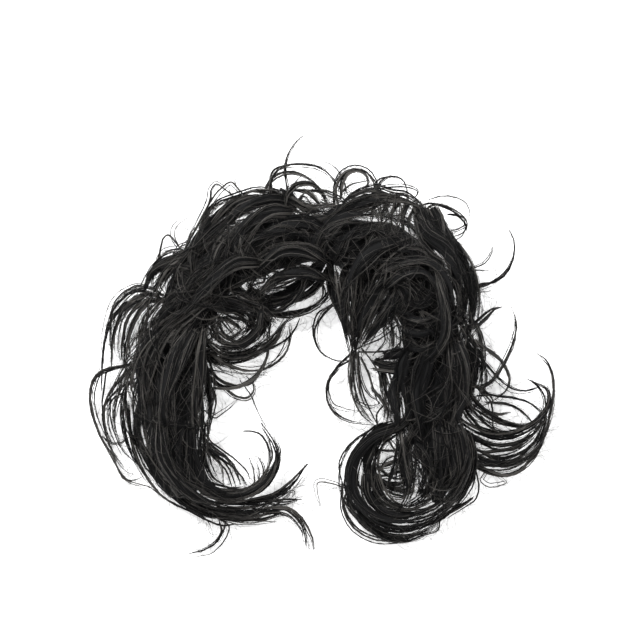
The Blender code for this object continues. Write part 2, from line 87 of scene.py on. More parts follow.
# Main locks of each bunch. Columns: name, width (mm), thickness (mm), heights at the root, middle
# and tip (mm), plan x and y of its points from root to tip.
LOCKS = {
    "left_end": (
        ("sweep_outer", 10, 8, (18, 9, 7), (158, 430, 170, 478, 198, 506, 238, 514, 275, 506, 295, 488,
         308, 466)),
        ("sweep_inner", 11, 9, (22, 15, 22), (182, 430, 192, 474, 214, 494, 245, 494, 270, 478, 277, 458,
         271, 438)),
        ("sweep_fork", 5, 4, (10, 7, 4), (185, 495, 215, 515, 255, 515, 285, 509, 302, 526, 310, 550)),
        ("fork_side", 3, 3, (7, 6, 3), (262, 512, 288, 514, 302, 530, 306, 552)),
        ("end_pair", 1.6, 1.6, (8, 5, 2), (212, 512, 225, 523, 219, 539, 203, 550, 186, 554)),
        ("arm_edge", 7, 7, (16, 8, 7), (140, 400, 137, 432, 148, 462, 168, 491, 196, 510)),
        ("arm_flow", 11, 8, (34, 35, 24), (150, 398, 152, 430, 166, 462, 190, 490, 214, 503)),
    ),
    "left_side": (
        ("far_loop", 2.4, 2, (20, 9, 5), (150, 362, 118, 367, 95, 378, 90, 400, 98, 432, 114, 462, 128, 482,
         158, 488)),
        ("near_loop", 5, 4, (22, 12, 8), (152, 358, 126, 374, 107, 400, 105, 424, 114, 452, 128, 470,
         148, 478)),
        ("side_flow", 12, 9, (36, 36, 33), (168, 322, 148, 345, 140, 372, 146, 402, 156, 428)),
        ("inner_edge", 7, 7, (28, 26, 22), (196, 350, 205, 375, 210, 402, 206, 432)),
        ("swag_wide", 8, 7, (26, 18, 24), (178, 334, 202, 350, 232, 355, 262, 348, 282, 330, 289, 310)),
        ("swag_low", 3, 3, (24, 10, 16), (192, 362, 212, 382, 236, 388, 258, 376, 268, 356, 268, 330)),
    ),
    "left_shoulder": (
        ("fan_far", 2.6, 2.2, (22, 15, 7), (168, 300, 150, 288, 128, 290, 112, 306, 104, 334, 104, 364)),
        ("fan_middle", 5, 4, (24, 20, 14), (172, 304, 148, 294, 124, 306, 111, 326, 110, 352)),
        ("fan_near", 6, 5, (26, 24, 26), (176, 306, 150, 300, 130, 316, 123, 340, 124, 366)),
        ("shoulder_roll", 12, 10, (32, 27, 15), (208, 292, 186, 268, 162, 266, 147, 282, 146, 306)),
        ("shoulder_lift", 13, 11, (32, 30, 22), (192, 282, 196, 248, 212, 218, 236, 204)),
        ("shoulder_flow", 12, 8, (38, 40, 34), (180, 318, 196, 282, 224, 262, 252, 272, 262, 296)),
    ),
    "crown_left": (
        ("crown_edge", 9, 8, (26, 30, 26), (222, 228, 240, 206, 262, 198, 284, 204, 300, 219)),
        ("tall_arc", 1.8, 1.8, (28, 36, 28), (280, 222, 270, 186, 278, 170, 296, 164, 322, 168, 336, 180,
         344, 198)),
        ("short_arc", 2.2, 2, (22, 29, 20), (262, 224, 268, 184, 284, 173, 304, 176, 320, 190, 328, 206)),
        ("crown_knot", 6, 6, (30, 36, 28), (284, 222, 286, 196, 298, 185, 314, 186, 328, 204)),
        ("tall_wisp", 1.3, 1.3, (26, 30, 26), (292, 216, 286, 184, 285, 166, 290, 150, 302, 138)),
        ("under_swag", 5, 5, (22, 14, 20), (248, 292, 264, 311, 294, 313, 320, 303, 330, 286)),
        ("under_roll", 9, 8, (20, 20, 26), (232, 284, 250, 302, 276, 302, 298, 288, 306, 268)),
        ("crown_flow", 12, 8, (36, 41, 34), (244, 280, 250, 248, 278, 232, 304, 240, 312, 262)),
    ),
    "crown_right": (
        ("round_loop", 3, 2.6, (24, 32, 24), (340, 214, 336, 190, 346, 173, 362, 170, 376, 184, 380, 214)),
        ("side_loop", 2.6, 2.2, (20, 24, 18), (370, 224, 380, 183, 394, 177, 406, 188, 408, 208)),
        ("crown_brow", 8, 7, (26, 31, 24), (344, 222, 364, 205, 390, 200, 414, 203, 428, 218)),
        ("pinch_left", 9, 7, (26, 20, 15), (352, 256, 342, 282, 346, 318, 355, 354)),
        ("pinch_right", 11, 8, (36, 30, 16), (392, 262, 380, 294, 364, 322, 355, 358)),
        ("bow_loop", 2, 2, (20, 8, 12), (346, 296, 326, 312, 314, 332, 320, 352, 338, 361, 356, 355)),
        ("knot_loop", 2.4, 2, (16, 6, 8), (355, 350, 336, 368, 327, 388, 330, 406, 346, 420, 376, 425)),
        ("drop_string", 4, 3, (16, 12, 14), (355, 350, 352, 376, 356, 400, 374, 424)),
        ("brow_flow", 12, 8, (38, 40, 34), (330, 262, 352, 236, 382, 232, 404, 248)),
    ),
    "right_shoulder": (
        ("temple_loop", 4, 3, (26, 30, 22), (416, 226, 432, 206, 452, 209, 466, 222, 460, 236, 444, 242)),
        ("shoulder_edge", 10, 10, (26, 24, 12), (420, 232, 444, 240, 460, 264, 469, 292, 467, 322)),
        ("long_arc", 2.2, 2, (22, 18, 14), (460, 290, 486, 285, 506, 272, 515, 250, 508, 228)),
        ("side_tuft", 4, 3.4, (22, 20, 16), (456, 322, 472, 326, 488, 315, 503, 306)),
        ("ringlet", 15, 11, (36, 36, 28), (396, 276, 412, 296, 417, 322, 410, 350)),
        ("ring_band", 9, 8, (26, 33, 24), (380, 358, 402, 354, 426, 358, 446, 340, 450, 310)),
        ("temple_flow", 12, 8, (38, 40, 36), (396, 252, 426, 254, 446, 280, 450, 318)),
    ),
    "right_side": (
        ("cross_arc", 2.2, 2, (20, 18, 14), (462, 386, 486, 386, 504, 364, 516, 336, 512, 306)),
        ("elbow_arc", 2.8, 2.4, (24, 10, 8), (458, 336, 480, 345, 500, 360, 510, 380, 504, 394, 486, 404)),
        ("curl_middle", 3.4, 3, (18, 14, 26), (456, 392, 478, 410, 506, 425, 534, 425, 550, 404, 546, 386,
         530, 381)),
        ("curl_band", 7, 5, (18, 22, 20), (444, 410, 484, 434, 516, 434, 540, 420, 548, 398)),
        ("side_edge", 9, 9, (28, 22, 14), (462, 340, 474, 362, 470, 396, 458, 424)),
        ("side_drop", 12, 8, (36, 37, 34), (416, 336, 404, 366, 404, 396, 410, 420)),
        ("side_drape", 11, 8, (36, 38, 33), (448, 330, 452, 366, 448, 400, 438, 432)),
    ),
    "right_end": (
        ("curl_outer", 4.6, 4, (14, 5, 9), (446, 446, 484, 467, 514, 466, 540, 446, 554, 412, 553, 378,
         538, 354)),
        ("curl_low", 7, 6, (18, 12, 14), (440, 440, 480, 460, 512, 460, 536, 442, 545, 414)),
        ("ring_outer", 10, 8, (26, 12, 14), (408, 420, 376, 432, 352, 456, 347, 488, 366, 520, 398, 533,
         434, 520, 456, 488)),
        ("ring_inner", 7, 6, (30, 20, 22), (414, 424, 384, 442, 372, 466, 378, 494, 402, 510, 430, 504,
         444, 478)),
        ("ring_low", 3, 3, (10, 5, 4), (350, 484, 344, 504, 356, 528, 384, 540, 420, 537)),
        ("bar_drop", 10, 7, (30, 24, 18), (420, 424, 406, 448, 403, 476, 408, 502)),
        ("end_flow", 12, 8, (34, 33, 22), (446, 418, 452, 446, 454, 474, 438, 504)),
        ("end_edge", 8, 7, (26, 14, 8), (462, 428, 470, 456, 464, 486, 440, 512)),
    ),
}

# Broad smooth locks that lie on top, with the same columns.
FLOWS = {
    "left_end": (
        ("end_panel", 13, 6, (39, 33, 16), (160, 420, 164, 456, 182, 486, 212, 502, 240, 504)),
        ("end_lining", 11, 6, (34, 28, 16), (192, 420, 192, 450, 200, 476, 222, 492, 248, 494)),
        ("end_under", 10, 6, (20, 10, 6), (150, 440, 158, 474, 184, 502, 222, 518, 262, 516)),
        ("sweep_tip", 11, 6, (12, 8, 6), (210, 506, 244, 508, 274, 498, 292, 482, 308, 464)),
        ("sweep_hem", 7, 5, (10, 6, 4), (186, 498, 214, 515, 246, 519, 278, 514, 298, 519)),
        ("sweep_crook", 8, 6, (14, 10, 18), (222, 498, 254, 492, 274, 474, 280, 452, 272, 434)),
        ("arm_rim", 7, 5, (18, 10, 6), (124, 392, 125, 424, 134, 456, 152, 484, 176, 504)),
    ),
    "left_side": (
        ("arm_panel", 17, 6, (42, 43, 36), (196, 326, 180, 352, 168, 386, 164, 420, 172, 452)),
        ("arm_outside", 14, 6, (38, 36, 28), (182, 318, 156, 348, 144, 384, 142, 420, 152, 452)),
        ("arm_inside", 12, 6, (38, 36, 30), (204, 326, 198, 356, 198, 390, 194, 424, 192, 452)),
        ("side_fringe", 9, 5, (30, 20, 10), (160, 340, 132, 362, 118, 394, 114, 428, 124, 458)),
        ("eye_curl", 7, 5, (34, 26, 30), (262, 306, 258, 330, 240, 345, 218, 340, 208, 324, 214, 306)),
        ("swag_upper", 6, 5, (30, 20, 26), (196, 322, 210, 344, 236, 352, 262, 340, 280, 318)),
        ("swag_hem", 6, 5, (26, 16, 20), (196, 340, 214, 360, 242, 362, 268, 350, 286, 326)),
        ("swag_drop", 8, 5, (28, 20, 14), (194, 344, 204, 360, 222, 370, 244, 376)),
        ("inner_rim", 8, 6, (30, 26, 18), (202, 352, 210, 380, 212, 408, 206, 436, 200, 456)),
        ("inner_rim_low", 7, 6, (24, 20, 12), (204, 420, 204, 444, 206, 466, 216, 486)),
    ),
    "left_shoulder": (
        ("fan_sweep", 13, 7, (40, 32, 10), (214, 272, 186, 296, 156, 322, 134, 348, 122, 376)),
        ("fan_inside", 13, 7, (40, 36, 14), (210, 300, 182, 316, 154, 336, 138, 362, 130, 394)),
        ("outer_brow", 11, 7, (36, 30, 20), (236, 214, 206, 238, 180, 262, 156, 284, 138, 310)),
        ("outer_edge", 9, 6, (30, 26, 22), (262, 196, 234, 203, 209, 224, 187, 251, 160, 272)),
        ("centre_wave", 12, 6, (42, 45, 40), (262, 262, 236, 262, 212, 280, 192, 304, 168, 328)),
        ("shade_roll", 12, 6, (36, 40, 34), (226, 236, 214, 262, 196, 282, 178, 298, 158, 306)),
        ("brow_far", 9, 6, (30, 26, 18), (192, 254, 168, 260, 152, 272, 144, 292, 136, 312)),
        ("eye_outer", 12, 7, (30, 22, 26), (244, 288, 262, 302, 263, 322, 248, 339, 226, 345, 206, 336)),
        ("eye_right", 9, 6, (32, 26, 20), (230, 288, 247, 298, 254, 314, 248, 330, 236, 342)),
        ("eye_left", 9, 6, (34, 28, 22), (222, 288, 211, 304, 211, 322, 220, 338)),
        ("eye_upper", 8, 6, (34, 28, 22), (206, 306, 222, 304, 240, 308, 250, 320)),
        ("eye_lid", 9, 6, (34, 30, 24), (196, 294, 220, 298, 244, 306, 262, 320, 272, 338)),
        ("eye_shade", 9, 6, (34, 31, 26), (200, 303, 219, 308, 236, 312, 256, 322)),
        ("eye_lid_low", 6, 5, (32, 28, 22), (202, 302, 224, 308, 242, 316, 254, 334)),
    ),
    "crown_left": (
        ("wing", 13, 6, (36, 44, 32), (332, 262, 306, 250, 278, 252, 258, 270, 250, 292)),
        ("wing_low", 11, 6, (30, 34, 24), (330, 280, 304, 272, 276, 278, 256, 296, 238, 306)),
        ("veil", 13, 6, (38, 43, 36), (296, 214, 270, 212, 246, 226, 232, 250, 226, 278)),
        ("veil_far", 11, 6, (34, 36, 30), (300, 206, 272, 200, 244, 208, 222, 228, 208, 254)),
        ("crest", 11, 6, (38, 40, 36), (330, 232, 304, 222, 280, 226, 262, 244, 258, 266)),
        ("under_wing", 12, 6, (28, 22, 22), (324, 258, 308, 280, 286, 294, 258, 296, 238, 290)),
        ("under_wing_low", 7, 6, (24, 18, 18), (330, 265, 315, 288, 293, 301, 269, 306, 248, 300)),
        ("crown_shelf", 9, 6, (28, 34, 30), (264, 194, 284, 199, 308, 206, 336, 203)),
        ("crown_web", 10, 6, (34, 38, 34), (292, 222, 314, 220, 336, 218, 356, 214)),
        ("crown_shelf_low", 7, 5, (30, 34, 32), (288, 190, 298, 204, 314, 211, 336, 211)),
    ),
    "crown_right": (
        ("crest_right", 11, 6, (34, 38, 34), (312, 232, 334, 214, 358, 204, 382, 200, 402, 210)),
        ("cap_left", 13, 6, (36, 40, 36), (312, 256, 322, 232, 340, 218, 362, 214, 384, 222)),
        ("bridge", 13, 6, (42, 44, 34), (400, 240, 376, 248, 358, 266, 346, 290, 340, 312)),
        ("pinch_band", 13, 7, (38, 32, 16), (398, 262, 382, 286, 368, 310, 356, 336, 352, 356)),
        ("pinch_lining", 9, 6, (32, 26, 16), (360, 262, 350, 286, 344, 310, 346, 334, 354, 354)),
        ("pinch_edge", 9, 6, (26, 20, 15), (330, 254, 331, 278, 337, 304, 346, 330, 354, 355)),
        ("pinch_middle", 10, 6, (34, 28, 16), (382, 262, 368, 286, 360, 312, 356, 338, 354, 356)),
        ("pinch_outer", 13, 6, (36, 32, 18), (406, 262, 398, 288, 384, 314, 366, 340, 356, 358)),
        ("pinch_fill", 13, 6, (34, 28, 16), (374, 252, 362, 278, 357, 304, 355, 330, 354, 354)),
        ("knot_tails", 4, 4, (15, 11, 12), (353, 350, 350, 378, 353, 398, 364, 416, 378, 428)),
        ("knot_tails_right", 3.4, 3, (15, 11, 14), (356, 350, 357, 380, 363, 402, 378, 426)),
        ("inner_hem", 10, 6, (24, 22, 24), (382, 360, 386, 386, 391, 410, 400, 432)),
        ("shelf_right", 10, 6, (28, 34, 28), (338, 214, 356, 203, 380, 197, 404, 200, 428, 212)),
        ("net_first", 5, 4, (30, 38, 38), (372, 194, 376, 212, 384, 232)),
        ("net_second", 4, 4, (30, 38, 38), (386, 192, 388, 212, 394, 232)),
        ("net_third", 4, 4, (30, 38, 38), (397, 193, 396, 212, 404, 236)),
        ("net_fourth", 4, 4, (30, 38, 38), (408, 196, 402, 216, 396, 240)),
        ("net_fifth", 4, 4, (30, 38, 38), (418, 202, 410, 220, 412, 244)),
    ),
    "right_shoulder": (
        ("temple_panel", 16, 6, (36, 43, 36), (420, 208, 428, 230, 446, 250, 458, 276, 460, 306)),
        ("temple_drop", 15, 6, (32, 38, 34), (416, 204, 424, 222, 430, 244, 436, 268)),
        ("temple_drop_far", 13, 6, (30, 36, 34), (430, 206, 440, 224, 448, 246, 452, 272)),
        ("temple_edge", 12, 7, (34, 30, 18), (432, 216, 450, 240, 465, 268, 471, 300, 467, 330)),
        ("cap_arc", 8, 5, (40, 44, 40), (376, 276, 400, 263, 430, 262, 448, 280, 453, 306, 444, 336)),
        ("cap_lining", 8, 5, (38, 44, 38), (384, 290, 404, 276, 426, 274, 438, 290, 442, 316)),
        ("coil_first", 8, 5, (32, 43, 34), (402, 300, 420, 307, 440, 297)),
        ("coil_second", 8, 5, (32, 43, 34), (400, 314, 420, 321, 441, 311)),
        ("coil_third", 8, 5, (32, 43, 34), (401, 328, 420, 335, 441, 325)),
        ("coil_fourth", 8, 5, (32, 43, 34), (403, 342, 420, 349, 440, 338)),
        ("long_curl", 9, 5, (42, 44, 28), (436, 270, 444, 306, 444, 336, 428, 360, 400, 370, 380, 366)),
        ("band_root", 9, 6, (24, 30, 32), (372, 360, 388, 366, 408, 364, 428, 352)),
        ("shoulder_back", 9, 6, (26, 22, 14), (458, 254, 469, 279, 473, 304, 470, 330, 474, 356)),
    ),
    "right_side": (
        ("side_panel", 14, 6, (40, 41, 36), (432, 344, 424, 372, 418, 400, 420, 428, 426, 452)),
        ("side_outside", 13, 6, (38, 36, 28), (456, 338, 464, 368, 462, 398, 456, 428, 450, 454)),
        ("side_inside", 11, 6, (34, 36, 32), (400, 368, 394, 394, 398, 418, 404, 440)),
        ("curl_panel", 5, 4, (32, 24, 16), (462, 384, 474, 410, 494, 428, 520, 432, 540, 420)),
        ("elbow_panel", 7, 5, (28, 22, 16), (466, 336, 480, 356, 486, 380, 480, 402, 466, 420)),
        ("curl_bridge", 6, 5, (28, 22, 16), (448, 394, 468, 412, 488, 424, 512, 430)),
        ("curl_shelf", 6, 5, (24, 18, 14), (456, 424, 482, 440, 512, 444, 536, 430, 548, 408)),
    ),
    "right_end": (
        ("ring_panel", 10, 6, (36, 24, 10), (416, 400, 404, 424, 374, 438, 354, 462, 354, 492, 374, 514,
         404, 522, 436, 506, 456, 480)),
        ("ring_bottom", 12, 7, (12, 8, 16), (358, 508, 372, 525, 392, 535, 418, 530, 444, 508, 460, 476)),
        ("end_outside", 12, 6, (34, 30, 14), (456, 420, 464, 450, 462, 478, 444, 502, 418, 514)),
        ("end_middle", 12, 6, (36, 34, 18), (436, 420, 440, 450, 442, 480, 426, 506)),
        ("curl_sweep", 7, 5, (24, 14, 12), (458, 446, 482, 462, 510, 463, 534, 449, 547, 420)),
        ("end_rim", 11, 7, (26, 18, 8), (468, 430, 473, 460, 464, 487, 443, 510, 416, 525)),
        ("ring_lining", 9, 6, (28, 16, 14), (366, 470, 368, 494, 384, 512, 408, 516, 434, 504, 450, 484)),
        ("ring_bar_low", 8, 6, (18, 16, 20), (366, 466, 384, 482, 404, 490, 426, 486)),
        ("ring_bar_left", 8, 6, (32, 24, 14), (400, 440, 395, 466, 392, 488, 398, 506)),
        ("ring_bar_right", 8, 6, (32, 26, 16), (412, 446, 413, 470, 408, 490, 398, 506)),
        ("ring_throat", 9, 6, (30, 26, 18), (392, 424, 372, 444, 364, 466, 368, 486)),
    ),
}

# Loose strings of each bunch. Columns: strands, width of the string (mm), heights at the root,
# middle and tip (mm), plan x and y of its points from root to tip.
STRINGS = {
    "left_end": (
        (16, 3.4, (10, 8, 6), (208, 503, 234, 509, 262, 506, 288, 494)),
        (12, 2.8, (28, 20, 12), (200, 436, 201, 456, 206, 474, 216, 486)),
        (10, 2.2, (24, 14, 10), (203, 446, 206, 462, 213, 477, 228, 487)),
        (12, 2.6, (14, 10, 10), (196, 470, 206, 484, 226, 490, 250, 488)),
        (14, 2.6, (12, 9, 8), (200, 493, 226, 500, 254, 500, 282, 491)),
        (10, 2.0, (10, 8, 8), (216, 500, 240, 504, 264, 501, 288, 492)),
        (20, 4.0, (10, 6, 4), (206, 510, 232, 517, 258, 518, 282, 512)),
        (12, 3.0, (8, 5, 4), (262, 500, 280, 502, 298, 500)),
        (12, 2.6, (10, 7, 6), (262, 500, 280, 494, 294, 482, 306, 466)),
        (7, 1.4, (8, 4, 2), (219, 520, 222, 532, 215, 544, 202, 551, 188, 554)),
        (8, 1.8, (22, 12, 8), (202, 440, 214, 454, 232, 466, 244, 480, 248, 490)),
        (7, 1.6, (22, 12, 8), (203, 444, 214, 458, 226, 470, 232, 488)),
        (30, 6.0, (18, 12, 24), (200, 485, 225, 492, 245, 492, 260, 485, 269, 475, 275, 463, 276, 454,
         272, 442, 267, 433, 260, 423)),
        (8, 1.8, (12, 12, 20), (250, 490, 265, 475, 270, 458, 268, 445, 260, 434, 248, 431, 235, 433)),
        (4, 1.2, (10, 8, 8), (240, 494, 253, 487, 254, 472, 249, 457)),
        (3, 1.0, (10, 8, 8), (250, 490, 258, 482, 259, 470, 255, 460)),
        (3, 1.0, (10, 8, 8), (256, 486, 263, 475, 262, 464, 257, 456)),
        (22, 4.0, (10, 7, 6), (240, 502, 255, 500, 272, 497, 286, 488, 297, 477, 309, 463)),
        (5, 1.2, (8, 6, 4), (262, 500, 280, 500, 292, 499, 303, 500)),
        (2, 0.5, (7, 5, 4), (284, 494, 292, 490, 295, 492, 292, 498)),
        (10, 1.8, (8, 5, 3), (250, 508, 270, 512, 284, 509, 294, 515, 302, 525, 306, 540, 306, 553)),
        (10, 1.8, (8, 5, 3), (262, 508, 288, 508, 300, 516, 308, 527, 313, 540, 314, 553)),
        (4, 1.0, (8, 5, 4), (222, 520, 240, 521, 260, 521, 278, 522)),
        (5, 0.9, (8, 4, 2), (214, 516, 229, 526, 226, 538, 219, 547, 211, 554, 196, 557)),
        (2, 0.5, (8, 6, 4), (196, 512, 207, 520, 211, 527)),
        (18, 3.0, (12, 6, 5), (128, 400, 130, 420, 135, 450, 147, 475, 163, 495, 175, 503, 190, 510,
         200, 516, 222, 525, 240, 522)),
        (8, 2.5, (20, 16, 10), (140, 440, 150, 458, 160, 472, 172, 487, 182, 500)),
        (8, 1.8, (26, 22, 14), (180, 470, 192, 488, 200, 498, 212, 504, 220, 506)),
        (6, 1.2, (37, 34, 26), (186, 420, 181, 440, 181, 470, 192, 492)),
        (6, 1.2, (22, 12, 8), (196, 418, 203, 430, 212, 443, 224, 451, 238, 462, 248, 473, 250, 482)),
        (6, 1.2, (22, 12, 8), (200, 430, 208, 442, 225, 455, 236, 468, 241, 486)),
        (12, 2.0, (22, 12, 8), (204, 440, 212, 450, 226, 458, 236, 472, 242, 487)),
        (6, 1.2, (22, 12, 8), (200, 442, 210, 452, 219, 460, 223, 472, 223, 487)),
        (5, 1.2, (22, 12, 8), (200, 445, 209, 455, 212, 466, 219, 480)),
        (6, 1.2, (22, 12, 8), (208, 448, 220, 458, 230, 470, 236, 487)),
        (8, 1.5, (14, 10, 8), (200, 480, 222, 486, 232, 488, 243, 487)),
    ),
    "left_side": (
        (12, 2.6, (28, 20, 12), (141, 400, 143, 422, 148, 444, 158, 466)),
        (12, 2.8, (34, 30, 24), (146, 362, 137, 384, 133, 406, 136, 430)),
        (10, 2.2, (30, 26, 20), (200, 380, 201, 400, 200, 420, 196, 440)),
        (14, 3.0, (32, 28, 24), (206, 310, 214, 322, 217, 334, 226, 342)),
        (10, 2.0, (32, 28, 24), (222, 312, 232, 318, 242, 321, 252, 330)),
        (10, 2.0, (30, 26, 22), (217, 330, 226, 338, 238, 341, 250, 335)),
        (10, 2.2, (24, 14, 10), (208, 368, 220, 380, 236, 386, 250, 384, 260, 374)),
        (8, 1.6, (30, 26, 22), (224, 316, 234, 322, 243, 331)),
        (8, 1.6, (30, 26, 22), (226, 339, 236, 335, 246, 326)),
        (8, 1.6, (32, 26, 22), (216, 314, 226, 326, 236, 338)),
        (12, 3.0, (34, 30, 24), (202, 392, 203, 415, 200, 440, 198, 462)),
        (10, 2.2, (30, 26, 22), (210, 304, 218, 318, 223, 332, 234, 340)),
        (24, 5.0, (28, 20, 22), (208, 342, 222, 354, 244, 355, 262, 347, 276, 335, 286, 318)),
        (16, 3.4, (28, 22, 24), (214, 328, 222, 340, 236, 343, 250, 336, 260, 324, 264, 312)),
        (12, 2.4, (28, 22, 24), (220, 346, 236, 347, 252, 340, 264, 328, 268, 316)),
        (6, 1.4, (26, 16, 22), (262, 352, 276, 346, 288, 338, 296, 327, 300, 318)),
        (6, 1.3, (24, 14, 20), (262, 370, 276, 363, 286, 352, 290, 340, 289, 324)),
        (8, 1.8, (26, 16, 16), (210, 354, 226, 363, 242, 370, 256, 371, 266, 368)),
        (8, 2.0, (22, 12, 18), (212, 388, 230, 389, 246, 384, 258, 375, 266, 362, 268, 348, 266, 328)),
        (5, 1.2, (16, 10, 10), (226, 390, 238, 397, 247, 398, 253, 392, 253, 384, 246, 376)),
        (6, 1.0, (20, 8, 6), (140, 362, 120, 366, 105, 369, 96, 375, 91, 385, 90, 395, 92, 407, 96, 425,
         104, 443, 113, 455, 119, 472, 124, 479, 132, 482, 150, 487, 160, 495, 190, 511)),
        (4, 0.9, (14, 8, 6), (120, 368, 103, 371, 96, 385, 94, 397, 97, 415, 106, 438)),
        (5, 1.0, (14, 8, 6), (124, 368, 108, 370, 104, 390, 102, 405, 104, 425, 110, 445, 114, 457)),
        (8, 1.6, (20, 12, 8), (140, 376, 120, 388, 110, 398, 103, 412, 105, 430, 112, 452, 124, 466)),
        (4, 0.9, (18, 12, 10), (130, 390, 112, 400, 110, 415, 113, 430, 122, 450, 138, 465)),
        (3, 0.7, (6, 8, 14), (102, 436, 110, 442, 120, 443, 130, 436)),
        (3, 0.7, (6, 6, 12), (116, 466, 122, 475, 128, 480, 136, 480, 144, 476)),
        (14, 2.8, (24, 16, 12), (134, 378, 126, 388, 124, 400, 127, 415, 129, 428, 136, 446)),
        (14, 3.0, (28, 24, 18), (200, 372, 208, 385, 214, 394, 216, 404, 214, 416, 210, 430, 207, 440)),
        (22, 4.0, (26, 16, 22), (190, 330, 205, 345, 220, 355, 240, 358, 262, 352, 276, 341, 284, 324,
         300, 314)),
        (5, 1.2, (24, 14, 20), (196, 346, 212, 358, 236, 369, 255, 371, 275, 364, 287, 350, 292, 333,
         290, 318)),
        (10, 1.8, (24, 12, 16), (194, 348, 203, 360, 208, 376, 220, 387, 240, 387, 256, 377, 266, 362,
         270, 345, 268, 315)),
        (3, 0.7, (16, 10, 8), (208, 374, 222, 386, 236, 396, 248, 397, 254, 389, 252, 380)),
        (3, 0.7, (22, 14, 8), (204, 410, 215, 418, 222, 414, 232, 406, 240, 397)),
        (2, 0.5, (12, 6, 3), (240, 380, 252, 397, 257, 410, 268, 430)),
    ),
    "left_shoulder": (
        (8, 1.8, (26, 20, 12), (138, 300, 122, 314, 113, 336, 111, 362)),
        (14, 3.4, (32, 30, 26), (182, 262, 175, 276, 170, 290, 163, 306)),
        (14, 3.4, (30, 28, 24), (184, 258, 170, 270, 161, 284, 154, 304)),
        (12, 3.0, (30, 27, 24), (176, 258, 163, 270, 156, 286, 150, 300)),
        (10, 2.4, (30, 24, 18), (150, 298, 136, 316, 129, 334, 130, 356)),
        (8, 1.8, (26, 20, 14), (146, 296, 126, 306, 116, 326, 114, 352)),
        (12, 3.0, (34, 30, 24), (208, 308, 224, 310, 240, 315, 252, 324)),
        (14, 3.2, (32, 26, 20), (164, 298, 147, 314, 138, 336, 136, 360)),
        (12, 3.0, (34, 30, 26), (204, 300, 220, 302, 240, 307, 260, 314, 278, 324)),
        (10, 2.6, (32, 28, 24), (206, 312, 218, 316, 230, 320, 243, 331)),
        (14, 4.0, (34, 30, 26), (236, 296, 252, 304, 266, 312, 278, 322)),
        (12, 3.0, (30, 26, 22), (240, 304, 250, 316, 254, 328, 250, 338)),
        (12, 3.0, (30, 26, 22), (252, 300, 262, 312, 266, 326, 262, 340)),
        (16, 3.4, (26, 20, 14), (150, 292, 132, 298, 118, 316, 112, 342, 110, 368)),
        (20, 4.4, (28, 24, 20), (152, 300, 138, 312, 127, 334, 124, 360, 126, 384)),
        (10, 2.2, (20, 12, 8), (128, 300, 112, 318, 104, 345, 102, 372, 101, 392)),
        (4, 0.8, (22, 16, 8), (156, 292, 139, 285, 130, 288, 120, 295, 113, 305, 109, 318, 105, 333,
         103, 350, 104, 365)),
        (8, 1.6, (24, 18, 12), (158, 296, 138, 290, 128, 294, 119, 302, 112, 312, 110, 325, 110, 345,
         113, 360)),
        (8, 1.6, (24, 18, 12), (164, 294, 148, 295, 138, 302, 125, 305, 115, 313, 110, 320, 107, 334)),
        (12, 2.6, (28, 24, 20), (166, 300, 148, 300, 140, 305, 132, 312, 126, 322, 123, 335, 121, 350,
         122, 365)),
        (10, 2.6, (32, 30, 28), (158, 292, 150, 300, 148, 312, 146, 330, 140, 350)),
        (8, 1.2, (20, 26, 22), (152, 282, 158, 262, 161, 248, 163, 239, 168, 235, 176, 243, 186, 254,
         196, 262)),
        (4, 0.9, (20, 24, 24), (156, 276, 162, 256, 168, 251, 180, 249, 194, 254)),
        (2, 0.4, (26, 26, 18), (186, 262, 180, 248, 175, 238, 175, 229, 181, 222, 190, 219)),
        (2, 0.5, (24, 24, 26), (172, 256, 181, 246, 189, 244, 200, 246)),
        (9, 1.3, (28, 30, 24), (178, 268, 187, 245, 196, 228, 205, 212, 210, 200, 211, 190, 216, 184,
         224, 188, 234, 197, 244, 210)),
        (8, 1.2, (26, 28, 22), (198, 240, 203, 218, 210, 202, 219, 190, 231, 182, 238, 189, 248, 200,
         256, 212)),
        (1, 0.3, (26, 24, 20), (246, 196, 238, 189, 235, 180, 239, 178)),
        (12, 2.8, (24, 28, 28), (198, 232, 210, 208, 220, 200, 240, 193, 255, 188, 268, 188, 282, 191,
         294, 200)),
        (14, 2.8, (38, 41, 36), (226, 222, 232, 240, 236, 258, 242, 274, 255, 290)),
    ),
    "crown_left": (
        (14, 4.0, (30, 26, 24), (302, 276, 286, 284, 268, 290, 254, 294)),
        (18, 5.0, (26, 22, 22), (306, 278, 300, 290, 290, 302, 276, 311, 262, 314)),
        (12, 2.8, (20, 14, 20), (264, 312, 282, 317, 300, 315, 316, 308, 330, 296)),
        (6, 1.4, (20, 16, 22), (322, 282, 323, 294, 317, 304)),
        (4, 1.0, (20, 16, 22), (328, 284, 328, 296, 321, 304)),
        (12, 3.0, (30, 34, 30), (256, 190, 272, 190, 284, 197, 292, 206, 302, 218)),
        (10, 2.4, (30, 34, 30), (280, 188, 291, 198, 300, 206, 314, 211)),
        (10, 2.4, (30, 34, 30), (292, 190, 308, 192, 318, 202, 326, 214)),
        (8, 2.0, (30, 34, 30), (292, 212, 298, 200, 308, 191, 324, 190)),
        (8, 1.8, (28, 30, 28), (240, 200, 250, 192, 264, 193, 276, 200, 283, 209, 288, 222)),
        (6, 1.0, (28, 34, 28), (276, 212, 272, 192, 270, 180, 274, 170, 285, 165, 300, 164, 315, 166,
         327, 172, 336, 182, 341, 190, 344, 204)),
        (7, 1.2, (24, 30, 22), (258, 216, 262, 200, 266, 186, 277, 174, 290, 171, 302, 174, 315, 183,
         324, 193, 330, 206)),
        (5, 0.9, (26, 32, 24), (262, 204, 268, 186, 282, 175, 297, 174, 312, 181, 322, 192, 328, 206)),
        (3, 0.5, (26, 30, 24), (292, 206, 287, 186, 284, 172, 287, 156, 295, 143, 303, 136, 310, 133)),
